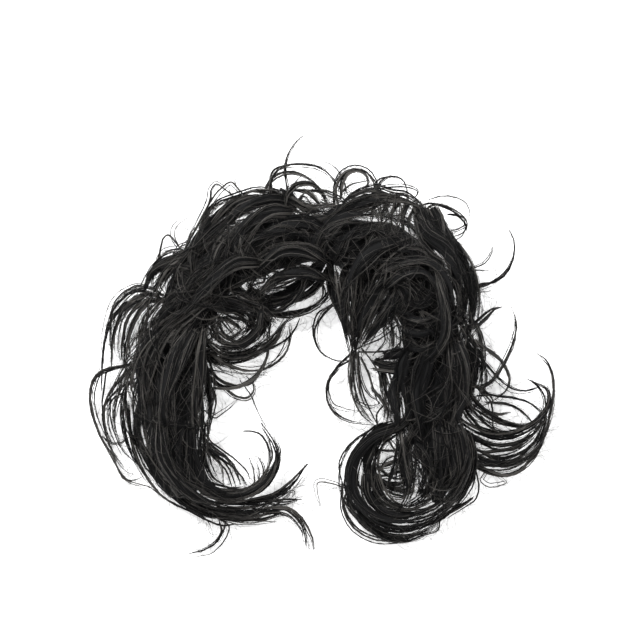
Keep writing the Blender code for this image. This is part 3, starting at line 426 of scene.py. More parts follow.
        (14, 2.6, (30, 36, 28), (284, 214, 288, 198, 294, 185, 304, 182, 315, 185, 324, 197, 330, 212)),
        (4, 1.0, (30, 34, 30), (284, 206, 290, 190, 296, 182, 302, 175)),
        (4, 0.9, (32, 34, 32), (294, 212, 300, 200, 304, 196, 312, 205, 316, 216)),
        (2, 0.4, (26, 28, 24), (348, 196, 341, 175, 332, 165, 322, 161)),
        (12, 2.6, (20, 14, 20), (262, 300, 275, 313, 295, 312, 312, 307, 325, 297, 331, 286)),
        (22, 5.0, (28, 22, 20), (310, 276, 303, 288, 292, 302, 278, 310, 262, 312, 246, 304)),
    ),
    "crown_right": (
        (12, 3.0, (30, 26, 16), (350, 284, 351, 306, 353, 326, 354, 348)),
        (14, 3.2, (32, 38, 36), (404, 218, 412, 228, 420, 238, 430, 250)),
        (10, 2.2, (30, 37, 36), (392, 199, 383, 212, 382, 232)),
        (9, 1.9, (30, 37, 36), (402, 200, 392, 214, 391, 234)),
        (14, 3.4, (28, 22, 15), (336, 270, 340, 298, 347, 326, 353, 354)),
        (12, 3.0, (26, 22, 15), (364, 300, 359, 322, 356, 340, 355, 356)),
        (12, 2.6, (14, 14, 20), (370, 386, 382, 400, 388, 412, 386, 426)),
        (8, 1.6, (14, 12, 16), (360, 356, 368, 372, 374, 390, 380, 408)),
        (10, 3.0, (30, 36, 34), (372, 200, 390, 200, 408, 202, 426, 210)),
        (9, 1.9, (32, 37, 34), (411, 202, 404, 216, 403, 238)),
        (12, 2.6, (22, 18, 20), (378, 358, 384, 376, 386, 396, 384, 420)),
        (16, 4.0, (32, 26, 16), (398, 286, 384, 304, 370, 324, 358, 346)),
        (12, 2.8, (30, 34, 30), (308, 190, 324, 191, 338, 197, 352, 206)),
        (12, 3.0, (32, 36, 32), (300, 207, 316, 206, 334, 204, 352, 200)),
        (12, 3.0, (32, 36, 32), (320, 200, 336, 208, 352, 211, 372, 206)),
        (10, 2.4, (30, 34, 30), (350, 198, 364, 192, 378, 192, 392, 197)),
        (10, 2.4, (30, 34, 30), (348, 213, 366, 211, 380, 205, 390, 196)),
        (7, 1.6, (28, 32, 26), (341, 200, 342, 184, 348, 173, 358, 170, 367, 176, 368, 186, 360, 194)),
        (14, 3.4, (22, 18, 15), (350, 318, 353, 334, 354, 346, 354, 358)),
        (9, 1.6, (26, 32, 24), (334, 216, 335, 200, 337, 184, 343, 174, 354, 169, 366, 172, 374, 182,
         379, 200, 382, 216)),
        (5, 0.9, (28, 30, 26), (338, 192, 344, 176, 354, 170, 364, 174, 368, 182, 362, 190, 350, 196)),
        (3, 0.8, (28, 30, 28), (340, 200, 342, 178, 346, 187, 344, 197)),
        (4, 0.9, (28, 30, 28), (340, 194, 350, 185, 360, 182, 370, 180)),
        (6, 1.0, (22, 24, 20), (372, 196, 377, 181, 386, 177, 397, 177, 404, 182, 408, 196, 410, 210)),
        (5, 0.9, (24, 26, 24), (372, 200, 381, 189, 393, 187, 407, 187, 417, 191, 416, 196, 411, 198)),
        (14, 3.0, (28, 32, 28), (340, 206, 350, 196, 364, 190, 378, 189, 392, 194, 405, 195, 420, 205,
         430, 216)),
        (3, 1.0, (28, 36, 40), (388, 196, 384, 214, 390, 232)),
        (3, 1.0, (28, 36, 40), (398, 196, 402, 214, 396, 234)),
        (3, 1.0, (28, 36, 40), (408, 198, 404, 216, 412, 236)),
        (5, 0.9, (20, 8, 12), (344, 292, 330, 306, 318, 313, 313, 328, 315, 342, 323, 354, 338, 361,
         350, 360, 356, 356)),
        (3, 0.6, (18, 8, 10), (336, 304, 322, 312, 316, 326, 316, 340, 322, 352)),
        (14, 3.0, (24, 18, 14), (330, 280, 330, 293, 336, 309, 344, 324, 347, 340, 350, 357)),
        (6, 0.9, (14, 6, 8), (356, 352, 352, 359, 338, 367, 330, 376, 326, 390, 329, 406, 338, 417,
         352, 423, 366, 424, 378, 426)),
        (2, 0.5, (10, 6, 8), (340, 368, 330, 380, 329, 393, 334, 404, 350, 410, 366, 412)),
        (8, 1.4, (15, 10, 12), (352, 348, 352, 358, 350, 380, 353, 397, 362, 415, 376, 426)),
        (6, 1.2, (15, 10, 12), (354, 350, 354, 385, 359, 402, 374, 424)),
        (6, 1.2, (15, 10, 12), (356, 350, 359, 375, 364, 397, 378, 426)),
        (6, 1.2, (15, 12, 16), (358, 350, 360, 378, 368, 394, 381, 403)),
        (6, 1.2, (15, 12, 18), (360, 346, 372, 362, 380, 376, 383, 400)),
        (2, 0.5, (12, 12, 16), (352, 396, 360, 402, 371, 406, 380, 403)),
        (6, 1.2, (12, 14, 22), (380, 430, 378, 426, 377, 414, 384, 405, 396, 398)),
    ),
    "right_shoulder": (
        (14, 3.4, (28, 26, 20), (450, 258, 458, 280, 462, 303, 460, 326)),
        (12, 2.8, (34, 34, 28), (418, 232, 434, 240, 446, 252, 454, 270)),
        (14, 3.0, (30, 26, 20), (448, 300, 460, 316, 466, 332, 466, 350)),
        (8, 1.6, (20, 20, 22), (362, 344, 374, 334, 384, 324, 392, 312)),
        (20, 4.6, (34, 31, 24), (430, 234, 444, 254, 453, 278, 458, 302, 457, 328)),
        (14, 3.2, (26, 22, 16), (444, 242, 460, 264, 466, 286, 465, 310, 462, 332)),
        (16, 3.6, (30, 28, 20), (448, 268, 456, 288, 460, 308, 458, 330)),
        (10, 2.4, (24, 20, 16), (366, 330, 378, 326, 390, 318, 400, 306)),
        (18, 5.0, (32, 26, 18), (448, 240, 462, 264, 468, 292, 466, 322)),
        (8, 1.4, (28, 30, 22), (418, 206, 430, 203, 444, 207, 457, 214, 466, 225, 464, 232, 453, 237,
         440, 240)),
        (5, 0.9, (26, 28, 26), (446, 214, 458, 216, 465, 224, 458, 229, 448, 231, 436, 230)),
        (2, 0.5, (26, 26, 20), (428, 200, 440, 196, 455, 197, 466, 203, 470, 213, 468, 221)),
        (20, 4.0, (28, 24, 14), (438, 228, 452, 240, 462, 252, 472, 269, 477, 286, 478, 303, 476, 318,
         474, 334)),
        (4, 0.8, (24, 20, 16), (462, 272, 476, 267, 485, 263, 492, 253, 493, 243)),
        (2, 0.6, (22, 18, 14), (462, 268, 476, 270, 491, 270)),
        (2, 0.6, (22, 18, 14), (468, 290, 481, 292, 492, 291)),
        (10, 1.6, (22, 16, 12), (466, 292, 481, 284, 494, 282, 507, 272, 514, 256, 514, 240, 507, 226)),
        (16, 3.6, (22, 20, 16), (460, 330, 474, 326, 484, 318, 494, 309, 503, 306)),
        (3, 0.7, (16, 14, 14), (352, 352, 360, 347, 378, 340, 392, 330, 398, 322, 390, 319, 380, 323)),
        (5, 1.0, (14, 16, 26), (356, 352, 362, 352, 382, 352, 394, 349, 401, 341, 408, 330)),
        (3, 0.7, (18, 20, 26), (372, 356, 378, 350, 385, 340, 384, 330, 388, 318)),
        (14, 3.0, (24, 30, 28), (372, 364, 383, 360, 396, 354, 412, 353, 428, 358, 444, 352)),
        (20, 4.0, (24, 36, 32), (370, 368, 382, 370, 402, 372, 422, 365, 436, 351, 444, 336, 446, 318)),
        (8, 1.4, (36, 38, 30), (440, 310, 445, 330, 448, 365, 450, 400, 447, 425, 438, 440, 433, 455)),
    ),
    "right_side": (
        (12, 2.6, (34, 28, 20), (462, 330, 468, 344, 470, 358, 467, 374)),
        (10, 2.4, (14, 9, 9), (476, 448, 494, 458, 514, 456, 532, 444, 542, 428)),
        (8, 2.0, (16, 12, 12), (478, 442, 496, 450, 516, 449, 534, 436)),
        (8, 1.8, (24, 18, 14), (474, 322, 481, 338, 483, 354, 481, 378)),
        (10, 2.4, (26, 20, 16), (462, 324, 473, 342, 476, 360, 472, 378)),
        (8, 1.8, (24, 12, 10), (474, 338, 490, 352, 502, 362, 509, 376, 507, 389, 494, 401)),
        (7, 1.5, (20, 16, 12), (480, 386, 492, 381, 502, 367, 511, 349, 516, 330, 515, 312)),
        (6, 1.4, (24, 12, 10), (476, 352, 490, 368, 502, 382, 520, 391, 540, 387)),
        (7, 1.5, (22, 14, 10), (480, 392, 496, 396, 514, 398, 530, 403, 542, 414)),
        (9, 2.0, (20, 14, 10), (488, 402, 508, 404, 522, 411, 532, 421, 538, 430)),
        (12, 2.6, (24, 16, 20), (464, 386, 475, 402, 490, 414, 510, 424, 528, 426, 543, 418, 550, 404,
         548, 390, 536, 382)),
        (10, 3.0, (26, 20, 16), (462, 384, 478, 388, 490, 396, 494, 404)),
        (14, 3.4, (26, 20, 16), (460, 402, 470, 418, 484, 432, 500, 436)),
        (8, 2.0, (16, 14, 12), (546, 408, 545, 424, 541, 438, 534, 448)),
        (12, 2.6, (22, 16, 14), (470, 316, 478, 328, 482, 345, 482, 370, 478, 388)),
        (4, 0.9, (20, 16, 12), (468, 388, 484, 386, 495, 377, 505, 361, 514, 340, 517, 325, 511, 305)),
        (6, 1.2, (24, 10, 8), (468, 336, 483, 346, 496, 356, 506, 369, 510, 384, 503, 394, 491, 402,
         478, 408)),
        (4, 0.9, (22, 10, 10), (470, 346, 482, 360, 497, 377, 512, 389, 528, 391, 541, 387)),
        (4, 1.0, (20, 14, 10), (474, 396, 490, 395, 508, 397, 526, 401, 542, 412, 550, 424)),
        (6, 1.4, (20, 14, 10), (484, 402, 500, 404, 512, 405, 522, 411, 532, 422, 538, 434)),
        (10, 2.6, (24, 18, 14), (460, 378, 470, 390, 476, 400, 488, 411, 500, 414, 514, 412)),
        (5, 1.2, (22, 18, 14), (474, 384, 485, 395, 491, 402, 493, 418, 492, 433, 484, 446)),
        (10, 2.0, (18, 14, 24), (462, 388, 474, 400, 490, 416, 508, 425, 527, 426, 541, 416, 549, 402,
         547, 389, 531, 381)),
        (3, 0.7, (18, 16, 12), (526, 378, 536, 384, 544, 395, 545, 410, 538, 420, 524, 428)),
        (12, 2.6, (18, 20, 18), (470, 424, 490, 432, 508, 434, 528, 428, 546, 413, 552, 398)),
        (10, 2.0, (18, 18, 16), (474, 432, 495, 439, 515, 437, 533, 428, 544, 416)),
        (10, 2.0, (18, 16, 14), (468, 438, 488, 444, 510, 444, 530, 436, 540, 425, 546, 410)),
    ),
    "right_end": (
        (18, 4.0, (10, 8, 12), (394, 521, 415, 521, 436, 513, 453, 499)),
        (10, 2.2, (8, 6, 8), (420, 528, 438, 520, 454, 508, 466, 492)),
        (12, 2.8, (26, 20, 14), (430, 470, 428, 488, 416, 500, 400, 508)),
        (12, 2.8, (16, 10, 7), (474, 462, 472, 482, 462, 500, 446, 512)),
        (16, 3.6, (30, 26, 14), (448, 452, 452, 474, 444, 496, 426, 510, 404, 518)),
        (14, 3.2, (32, 26, 16), (430, 450, 432, 474, 424, 496, 404, 510)),
        (16, 3.4, (8, 5, 6), (350, 508, 362, 526, 382, 537, 404, 540, 428, 532)),
        (14, 3.0, (24, 22, 26), (376, 462, 384, 472, 396, 478, 410, 476)),
        (10, 2.2, (26, 22, 24), (378, 472, 386, 464, 396, 460, 408, 462)),
        (10, 2.2, (18, 14, 14), (470, 448, 484, 452, 500, 450, 516, 446, 530, 436)),
        (8, 1.8, (12, 6, 5), (474, 497, 462, 506, 448, 514, 434, 522)),
        (16, 4.5, (30, 24, 16), (424, 440, 426, 462, 424, 482, 416, 500)),
        (12, 3.0, (28, 22, 16), (414, 446, 416, 468, 414, 490)),
        (20, 6.0, (16, 14, 16), (370, 478, 388, 488, 404, 492, 416, 488)),
        (18, 4.4, (18, 10, 10), (464, 450, 484, 460, 504, 464, 522, 461, 538, 450, 548, 428)),
        (9, 2.0, (12, 6, 8), (460, 456, 480, 469, 500, 475, 516, 472, 532, 460, 545, 440)),
        (6, 1.4, (10, 6, 12), (548, 420, 553, 398, 553, 376, 546, 360, 536, 353)),
        (24, 5.0, (30, 22, 16), (404, 420, 384, 432, 366, 446, 356, 466, 356, 488)),
        (20, 4.0, (26, 18, 14), (374, 450, 368, 470, 374, 488, 388, 502, 406, 509)),
        (8, 2.2, (20, 20, 24), (374, 469, 390, 464, 404, 458, 416, 450)),
        (6, 1.6, (18, 18, 22), (378, 477, 392, 475, 406, 470, 420, 462)),
        (20, 5.0, (16, 16, 20), (368, 482, 384, 485, 400, 485, 418, 480)),
        (5, 1.2, (22, 22, 24), (376, 450, 390, 451, 404, 450)),
        (5, 1.2, (22, 22, 24), (387, 436, 392, 446, 400, 456)),
        (22, 5.0, (32, 26, 20), (402, 428, 403, 450, 406, 470, 409, 488, 402, 499, 390, 498)),
        (24, 5.4, (16, 10, 12), (370, 486, 380, 502, 394, 511, 412, 515, 432, 510, 452, 496)),
        (26, 5.4, (10, 6, 8), (352, 500, 364, 516, 384, 528, 406, 531, 430, 524, 454, 506)),
        (20, 4.0, (8, 5, 6), (344, 494, 352, 512, 368, 526, 388, 536, 408, 537, 430, 529)),
        (8, 2.2, (14, 10, 14), (356, 468, 359, 486, 370, 495, 380, 503)),
        (10, 2.0, (14, 5, 9), (466, 456, 484, 468, 505, 475, 520, 471, 530, 459, 541, 443, 548, 425,
         552, 405, 553, 385, 549, 367, 540, 356)),
        (8, 1.8, (12, 8, 10), (490, 466, 516, 459, 526, 451, 538, 436, 545, 415, 548, 396)),
        (20, 4.0, (18, 10, 8), (462, 448, 485, 458, 500, 464, 514, 463, 524, 458, 536, 446)),
        (3, 0.7, (10, 5, 5), (476, 462, 484, 472, 480, 480, 488, 487, 500, 486, 507, 482, 498, 475,
         488, 470)),
        (5, 1.0, (10, 6, 4), (476, 470, 479, 488, 475, 500, 462, 509, 446, 519)),
        (4, 0.8, (24, 14, 8), (396, 420, 380, 425, 362, 434, 347, 447, 339, 463, 342, 482, 352, 498)),
        (24, 5.0, (26, 12, 10), (392, 422, 375, 428, 358, 448, 350, 470, 352, 490, 364, 507, 382, 520,
         402, 526, 424, 522)),
        (18, 4.0, (30, 18, 20), (400, 428, 385, 437, 376, 456, 378, 478, 390, 500, 410, 508, 432, 498,
         446, 484)),
        (6, 1.2, (8, 4, 5), (342, 478, 343, 490, 343, 508, 353, 527, 372, 539, 392, 541, 415, 536,
         443, 520)),
        (5, 1.2, (8, 4, 5), (346, 492, 350, 505, 360, 521, 385, 535, 408, 538)),
        (20, 4.0, (34, 28, 20), (402, 398, 397, 415, 400, 440, 404, 465, 410, 485, 406, 500, 396, 514)),
        (5, 1.0, (22, 22, 26), (366, 446, 378, 450, 395, 451, 408, 444)),
        (6, 1.2, (20, 20, 26), (366, 470, 375, 468, 390, 465, 403, 457)),
        (6, 1.2, (18, 18, 24), (372, 478, 385, 475, 403, 470, 416, 464)),
        (4, 0.9, (8, 5, 4), (450, 506, 440, 520, 438, 530, 420, 537)),
        (2, 0.4, (8, 3, 2), (352, 490, 343, 487, 330, 483, 318, 483, 318, 497, 321, 508)),
    ),
}

# Broad locks that fall in loose strings, with no dense inside.
LOOSE_LOCKS = ("fan_sweep", "fan_inside", "side_fringe", "swag_wide", "swag_drop", "inner_rim",
               "inner_rim_low", "curl_band", "curl_low", "curl_sweep", "elbow_panel", "inner_hem",
               "ring_outer", "ring_inner", "ring_bottom", "ring_bar_low", "ring_bar_left", "ring_bar_right",
               "arm_rim", "sweep_tip", "sweep_hem")

# Breadth of a lock: its share at the root, where it is full, and the power of its taper from there.
ROOT_SHARE, FULL_AT, LOCK_TAPER = 0.65, 0.35, 1.6

# Ways to comb strands along a lock. Columns: radius of a strand (mm), width of a clump (mm), how far
# clumps wander, breadth at the tip, how early clumps end, how early strands end, power of thinning.
LOCK_COMB = (0.155, 1.9, 0.5, 0.5, 0.45, 0.25, 2.2)
ROLL_COMB = (0.185, 1.9, 0.5, 0.6, 0.45, 0.25, 2.2)
CURL_COMB = (0.15, 1.6, 0.5, 0.6, 0.45, 0.15, 4.0)
STRING_COMB = (0.26, 2.0, 0.25, 0.6, 0.05, 0.1, 4.5)
COMPANION_COMB = (0.221, 1.8, 0.5, 0.7, 0.1, 0.15, 4.5)

# Clumps: how far out they lie, the turn from one to the next and their twist, shared and own
# (radians), and their swings along a lock.
CLUMP_OUT, CLUMP_TURN = 0.8, 2.4
SHARED_TWIST, CLUMP_TWIST, CLUMP_SWINGS = 1.8, 1.3, (0.7, 1.9)
# Strands: how far out they lie in one of many clumps and in a single one, twist, closing to the tip,
# swings and their size, latest start, thickness from least to most, what is gone of it at the tip.
STRAND_OUT, LONE_STRAND_OUT, STRAND_TWIST, STRAND_CLOSING = 0.5, 0.9, 2.0, 0.45
STRAND_SWINGS, STRAND_WAVE, LATEST_START = (0.8, 2.6), 0.08, 0.1
STRAND_SIZES, STRAND_THINNING = (0.6, 1.3), 0.72
# Strays among them: chance, how many times farther out, how much farther still, and thinness.
STRAY_CHANCE, STRAY_SPREAD, STRAY_OFFSET, STRAY_THINNESS = 0.07, 2.2, 0.3, 0.6
# Tones: the darkest, how much lighter they get, and how they spread over locks, clumps and strands.
DARKEST, TONE_RANGE, TONE_CURVE = 0.13, 0.38, (1.4, 2.0)
CLUMP_TONES, STRAND_TONES = 0.13, 0.24

# Strands of a lock: a few, and more for each mm of width. Strings: a few, and more for each in the
# table, combed a little wider than thick.
LOCK_BASE, LOCK_PER_MM = 7, 5.0
STRING_BASE, STRING_MORE, STRING_BREADTH = 4, 1.1, 1.1
# Thinner strings beside others: chance, share of strands, distance beside and over the other (mm).
COMPANION_CHANCE, COMPANION_SHARE, COMPANION_BESIDE, COMPANION_OVER = 0.55, 0.4, (0.9, 2.8), 1.5

# Single fine hairs: radius (mm), thinning to the tip, points, distance beside and over a lock (mm).
FINE_RADIUS, FINE_THINNING, FINE_POINTS, FRIZZ_BESIDE, FRIZZ_OVER = 0.09, 0.6, 40, 3.0, 2.0
# Fuzz at each lock: hairs, segments, radius (mm), lengths (mm).
FUZZ_HAIRS, FUZZ_SEGMENTS, FUZZ_RADIUS, FUZZ_LENGTHS = 14, 5, 0.1, (5, 17)
# Haze round the core: hairs in a bunch, lengths (stations), places and spread from the core
# (reaches), and how much of the spread also goes up.
HAZE_HAIRS, HAZE_LENGTHS, HAZE_LAYERS, HAZE_SPREAD, HAZE_UP = 60, (0.6, 2.4), (0.9, 1.2), (0.1, 0.7), 0.2

# Rolls of hair: strands, points, lengths (stations), widths (mm), those that run back and how long.
ROLL_STRANDS, ROLL_POINTS, ROLL_LENGTHS, ROLL_WIDTHS = 12, 60, (1.6, 3.6), (3.0, 7.5)
ROLL_BACK_CHANCE, ROLL_BACK_LENGTH = 0.2, -0.7
# Their turns round the core (radians), places from the core (reaches) and slip out at the tip.
ROLL_TURNS, ROLL_LAYERS, ROLL_SLIP = 1.5, (0.75, 1.1), (0.0, 0.3)
# Short curls: points, sizes (grid points), sweeps (radians), widths (mm), strands for each mm,
# farthest place beside the core (reaches), lowest height (mm), and how much lighter or darker they
# are: a random tone, where the lightest is a painted highlight on curls lying over the rest.
CURL_POINTS, CURL_SIZES, CURL_SWEEPS = 48, (12, 42), (0.8, 3.6)
CURL_WIDTHS, CURL_PER_MM, CURL_REACH, CURL_LOWEST = (0.7, 2.6), 2.4, 1.55, 1.5
CURL_TONES_AND_HIGHLIGHTS = (-0.2, -0.1, 0.0, 0.14)
# Beside the core (reaches): where the hair's round surface ends, where it starts to sink, how fast.
ROUND_TO, FALL_FROM, FALL_RATE = 1.12, 0.9, 1.3
# Stations that rolls and haze leave free at the core's ends, and a small step between stations.
CORE_END, STATION_STEP = 0.2, 0.05

# The dark mass inside the rolls: share of the hair's reach, what is left of it at the core's ends,
# stations over which it shrinks to that, sides, sections for each station, tone, and lumps as rows
# of depth, ridges and slant. Its tone is the hair's own black with painted shade, darker than the
# strands for the shade deep inside.
MASS_SHARE, MASS_END_SHARE, MASS_END_RUN = 0.74, 0.35, 2.0
MASS_SIDES, MASS_SECTIONS, MASS_TONE_WITH_SHADE = 20, 4, 0.1
MASS_LUMPS = ((0.07, 5, 2.1), (0.05, 9, -3.3))
# The dense inside of a lock: least width of a lock that has one (mm), sides, tone, start, end, tip,
# taper, share of the lock's width and thickness, drop below the middle, roughness. Its tone is the
# hair's own black with painted shade, darker than the strands over it.
PITH_LEAST, PITH_SIDES, PITH_TONE_WITH_SHADE = 7, 8, 0.1
PITH_START, PITH_END, PITH_TIP, PITH_TAPER = 0.04, 0.8, 0.1, 1.5
PITH_WIDTH, PITH_THICKNESS, PITH_DROP, PITH_ROUGHNESS = 0.62, 0.3, 0.25, 0.12

# Segments of a strand: least, most, length (mm) and turn of each.
FEWEST_SEGMENTS, MOST_SEGMENTS, LENGTH_PER_SEGMENT = 5, 28, 22.0
TURN_PER_SEGMENT = math.radians(25)
# Lowest height of strands (mm), and the height over which they lie down and keep this share of it.
LOWEST, HIGH, HIGH_SHARE = 0.45, 47.0, 0.35

# A tube's strip of the map: strips side by side for each row of them, margin and breadth of the
# sides in it, start and end along it, corners of the closed ends, low and high edge of each end.
MAP_SHAPE, MAP_MARGIN, MAP_BREADTH, MAP_RUN = 5, 0.05, 0.9, (0.04, 0.92)
MAP_CORNERS, MAP_ENDS = (0.1, 0.9, 0.5), ((0.0, 0.03), (0.93, 0.96))
# Steps of the streaks from strand to strand, with a strand's tone, and round a body.
STREAK_STEP, STREAK_TONE, STREAK_SIDE = 0.73, 90, 3.0

# Colours from the darkest to the lightest. Columns: position, colour. The lightest stop is partly
# the fibre's own lighter strands and partly painted sheen, standing in for the gloss of lit strands.
HAIR_COLOURS_AND_SHEEN = (
    (0.4, (0.0015, 0.0016, 0.002)),
    (0.72, (0.012, 0.0118, 0.0118)),
    (1.0, (0.12, 0.113, 0.104)),
)
BRAID_COLOURS = ((0.0, (0.006, 0.006, 0.006)), (1.0, (0.035, 0.034, 0.034)))

TABLE_SIZE, TABLE_DROP = 4, 0.5 * MM
# Soft lamps. Columns: name, place (m), size (m), power (W).
LAMPS = (
    ("key_light", (-0.45, 0.7, 1.1), 0.3, 20),
    ("fill_light", (0.8, 0.2, 1.0), 0.4, 4),
)


def plan_to_world(points, heights):
    """Plan grid points at their heights (mm), as seen from the eye over the table."""
    rise = heights * MM
    shrink = 1 - rise / EYE_HEIGHT
    x = GRID_STEP * ((points[..., 0] - EYE_X) * shrink - (CENTRE_X - EYE_X))
    y = GRID_STEP * ((EYE_Y - points[..., 1]) * shrink - (EYE_Y - CENTRE_Y))
    return np.stack((x, y, rise), axis=-1)


def smooth_line(points, steps=12):
    """A smooth line through the points, in short straight steps."""
    points = np.asarray(points, float)
    padded = np.vstack((2 * points[0] - points[1], points, 2 * points[-1] - points[-2]))
    knots = np.concatenate(([0], np.cumsum(np.linalg.norm(np.diff(padded, axis=0), axis=1) ** 0.5)))
    share = np.linspace(0, 1, steps, endpoint=False)[:, None]
    pieces = []
    for i in range(1, len(padded) - 2):
        before, start, end, after = padded[i - 1:i + 3]
        k0, k1, k2, k3 = knots[i - 1:i + 3]
        span = k2 - k1
        leave = span * ((start - before) / (k1 - k0) - (end - before) / (k2 - k0) + (end - start) / span)
        arrive = span * ((end - start) / span - (after - start) / (k3 - k1) + (after - end) / (k3 - k2))
        pieces.append((2 * share ** 3 - 3 * share ** 2 + 1) * start + (share ** 3 - share ** 2) * arrive
                      + (share ** 3 - 2 * share ** 2 + share) * leave
                      + (3 * share ** 2 - 2 * share ** 3) * end)
    return np.vstack(pieces + [padded[-2:-1]])


def unit(vectors):
    """The vectors at length one."""
    return vectors / np.maximum(np.linalg.norm(vectors, axis=-1, keepdims=True), 1e-12)


def distance_along(line):
    """The distance from the start of a line to each of its points."""
    steps = np.linalg.norm(np.diff(line, axis=0), axis=1)
    return np.concatenate(([0], np.cumsum(steps)))


def wave(share, swings, phase):
    """A wave along a line that swings so many times over its length."""
    return np.sin(2 * math.pi * swings * share + phase)


def half_breadth(share, end, tip_share, taper):
    """Half the breadth of a lock along it, in metres for each mm of its full breadth."""
    swell = ROOT_SHARE + (1 - ROOT_SHARE) * np.sin(np.minimum(share / FULL_AT, 1) * math.pi / 2)
    past = np.clip((share - FULL_AT) / (end - FULL_AT), 0, 1)
    return swell * (1 - (1 - tip_share) * past ** taper) * MM / 2


class Lock:
    """The middle line of a lock, its two cross directions, and its share of length at each point."""

    def __init__(self, path):
        self.path = path
        length = distance_along(path)
        self.share = length / length[-1]
        forward = unit(np.gradient(path, axis=0))
        self.across = unit(np.cross((0, 0, 1), forward))
        self.upright = np.cross(forward, self.across)
        turns = np.arccos(np.clip((forward[1:] * forward[:-1]).sum(axis=1), -1, 1))
        marks = length / (LENGTH_PER_SEGMENT * MM)
        marks[1:] += np.cumsum(turns) / TURN_PER_SEGMENT
        self.marks = marks / marks[-1]
        self.segments = int(np.clip(math.ceil(marks[-1]), FEWEST_SEGMENTS, MOST_SEGMENTS))

    def read(self, values, share):
        """Values along the lock at any shares of its length."""
        return np.stack([np.interp(share, self.share, values[:, i]) for i in range(3)], axis=-1)

    def place(self, share, side, rise):
        """Points at shares of its length, set off (m) across and upright."""
        return (self.read(self.path, share) + self.read(self.across, share) * side[..., None]
                + self.read(self.upright, share) * rise[..., None])


def lock_from_plan(points, heights):
    """A lock that is seen on plan points and rises and falls as its three heights say."""
    line = smooth_line(np.reshape(points, (-1, 2)))
    share = distance_along(line)
    share = share / share[-1]
    root, middle, tip = heights
    rise = 2 * (root + tip - 2 * middle) * share ** 2 + (4 * middle - 3 * root - tip) * share + root
    return Lock(plan_to_world(line, rise))


class Bunch:
    """Collects the strands and the dense bodies of one bunch."""

    def __init__(self, painted_light_shift):
        self.painted_light_shift = painted_light_shift
        self.strands = []
        self.bodies = []

    def add(self, path, radius, tone):
        """Strands with the same number of points: their points, radii and tones. High ones lie down."""
        path = path.copy()
        path[..., 2] = np.maximum(path[..., 2], LOWEST * MM)
        path[..., 2] -= (1 - HIGH_SHARE) * np.maximum(path[..., 2] - HIGH * MM, 0)
        # Painted light and shade: every strand of the bunch is made lighter or darker by the bunch's shift.
        self.strands.append((path, radius, np.clip(tone + self.painted_light_shift, 0, 1)))


def comb(bunch, lock, count, width, thickness, style, rng, lighter=0.0):
    """Lay strands along a lock in small clumps that twist, wander and end at their own lengths."""
    radius, clump_width, wander, tip_share, early, late, thinning = style
    clumps = max(1, int(round(width / clump_width)))
    number = np.arange(clumps)
    clump_out = np.sqrt((number + 0.5) / clumps) * (CLUMP_OUT if clumps > 1 else 0.0)
    clump_turn = number * CLUMP_TURN + rng.uniform(0, 2 * math.pi)
    clump_end = 1 - early * rng.random(clumps) ** 1.5
    clump_twist = rng.normal(0, SHARED_TWIST) + rng.normal(0, CLUMP_TWIST, clumps)
    clump_swings = rng.uniform(*CLUMP_SWINGS, (clumps, 2))
    clump_phase = rng.uniform(0, 2 * math.pi, (clumps, 2))
    clump = rng.integers(0, clumps, count)

    start = rng.random(count) * LATEST_START
    end = clump_end[clump] - late * rng.random(count) ** 2.5
    marks = np.linspace(0, 1, lock.segments + 1)
    first = np.interp(start, lock.share, lock.marks)
    last = np.interp(end, lock.share, lock.marks)
    share = np.interp(first[:, None] + (last - first)[:, None] * marks, lock.marks, lock.share)

    turn = clump_turn[clump][:, None] + clump_twist[clump][:, None] * share
    out = clump_out[clump][:, None]
    drift = wave(share[:, None, :], clump_swings[clump][:, :, None], clump_phase[clump][:, :, None])
    side = out * np.cos(turn) + wander * share * drift[:, 0]
    rise = out * np.sin(turn) + wander * share * drift[:, 1]

    own = np.sqrt(rng.random(count)) * (STRAND_OUT / math.sqrt(clumps) if clumps > 1 else LONE_STRAND_OUT)
    stray = rng.random(count) < STRAY_CHANCE
    own = np.where(stray, own * STRAY_SPREAD + STRAY_OFFSET, own)
    own_turn = (rng.uniform(0, 2 * math.pi, count)[:, None]
                + rng.normal(0, STRAND_TWIST, count)[:, None] * share)
    own_wave = wave(share, rng.uniform(*STRAND_SWINGS, (count, 1)), rng.uniform(0, 2 * math.pi, (count, 1)))
    closing = 1 - STRAND_CLOSING * share
    side = side + own[:, None] * closing * np.cos(own_turn) + STRAND_WAVE * own_wave * share
    rise = rise + own[:, None] * closing * np.sin(own_turn) + STRAND_WAVE * own_wave * share

    full = half_breadth(share, 1, tip_share, LOCK_TAPER)
    points = lock.place(share, side * full * width, rise * full * thickness)
    size = radius * MM * rng.uniform(*STRAND_SIZES, count)[:, None]
    size = np.where(stray[:, None], size * STRAY_THINNESS, size) * (1 - STRAND_THINNING * marks ** thinning)
    # A curl's shift is partly random tone and partly painted highlight; locks get none.
    tone = DARKEST + lighter + TONE_RANGE * rng.beta(*TONE_CURVE)
    clump_tone = rng.normal(0, CLUMP_TONES, clumps)
    bunch.add(points, size, np.clip(tone + clump_tone[clump] + rng.normal(0, STRAND_TONES, count), 0, 1))


def read_stations(wanted):
    """Plan x, plan y, reach and top at any station numbers."""
    line = smooth_line(STATIONS, 16)
    numbers = np.linspace(0, len(STATIONS) - 1, len(line))
    return np.stack([np.interp(wanted, numbers, line[:, i]) for i in range(4)], axis=-1)


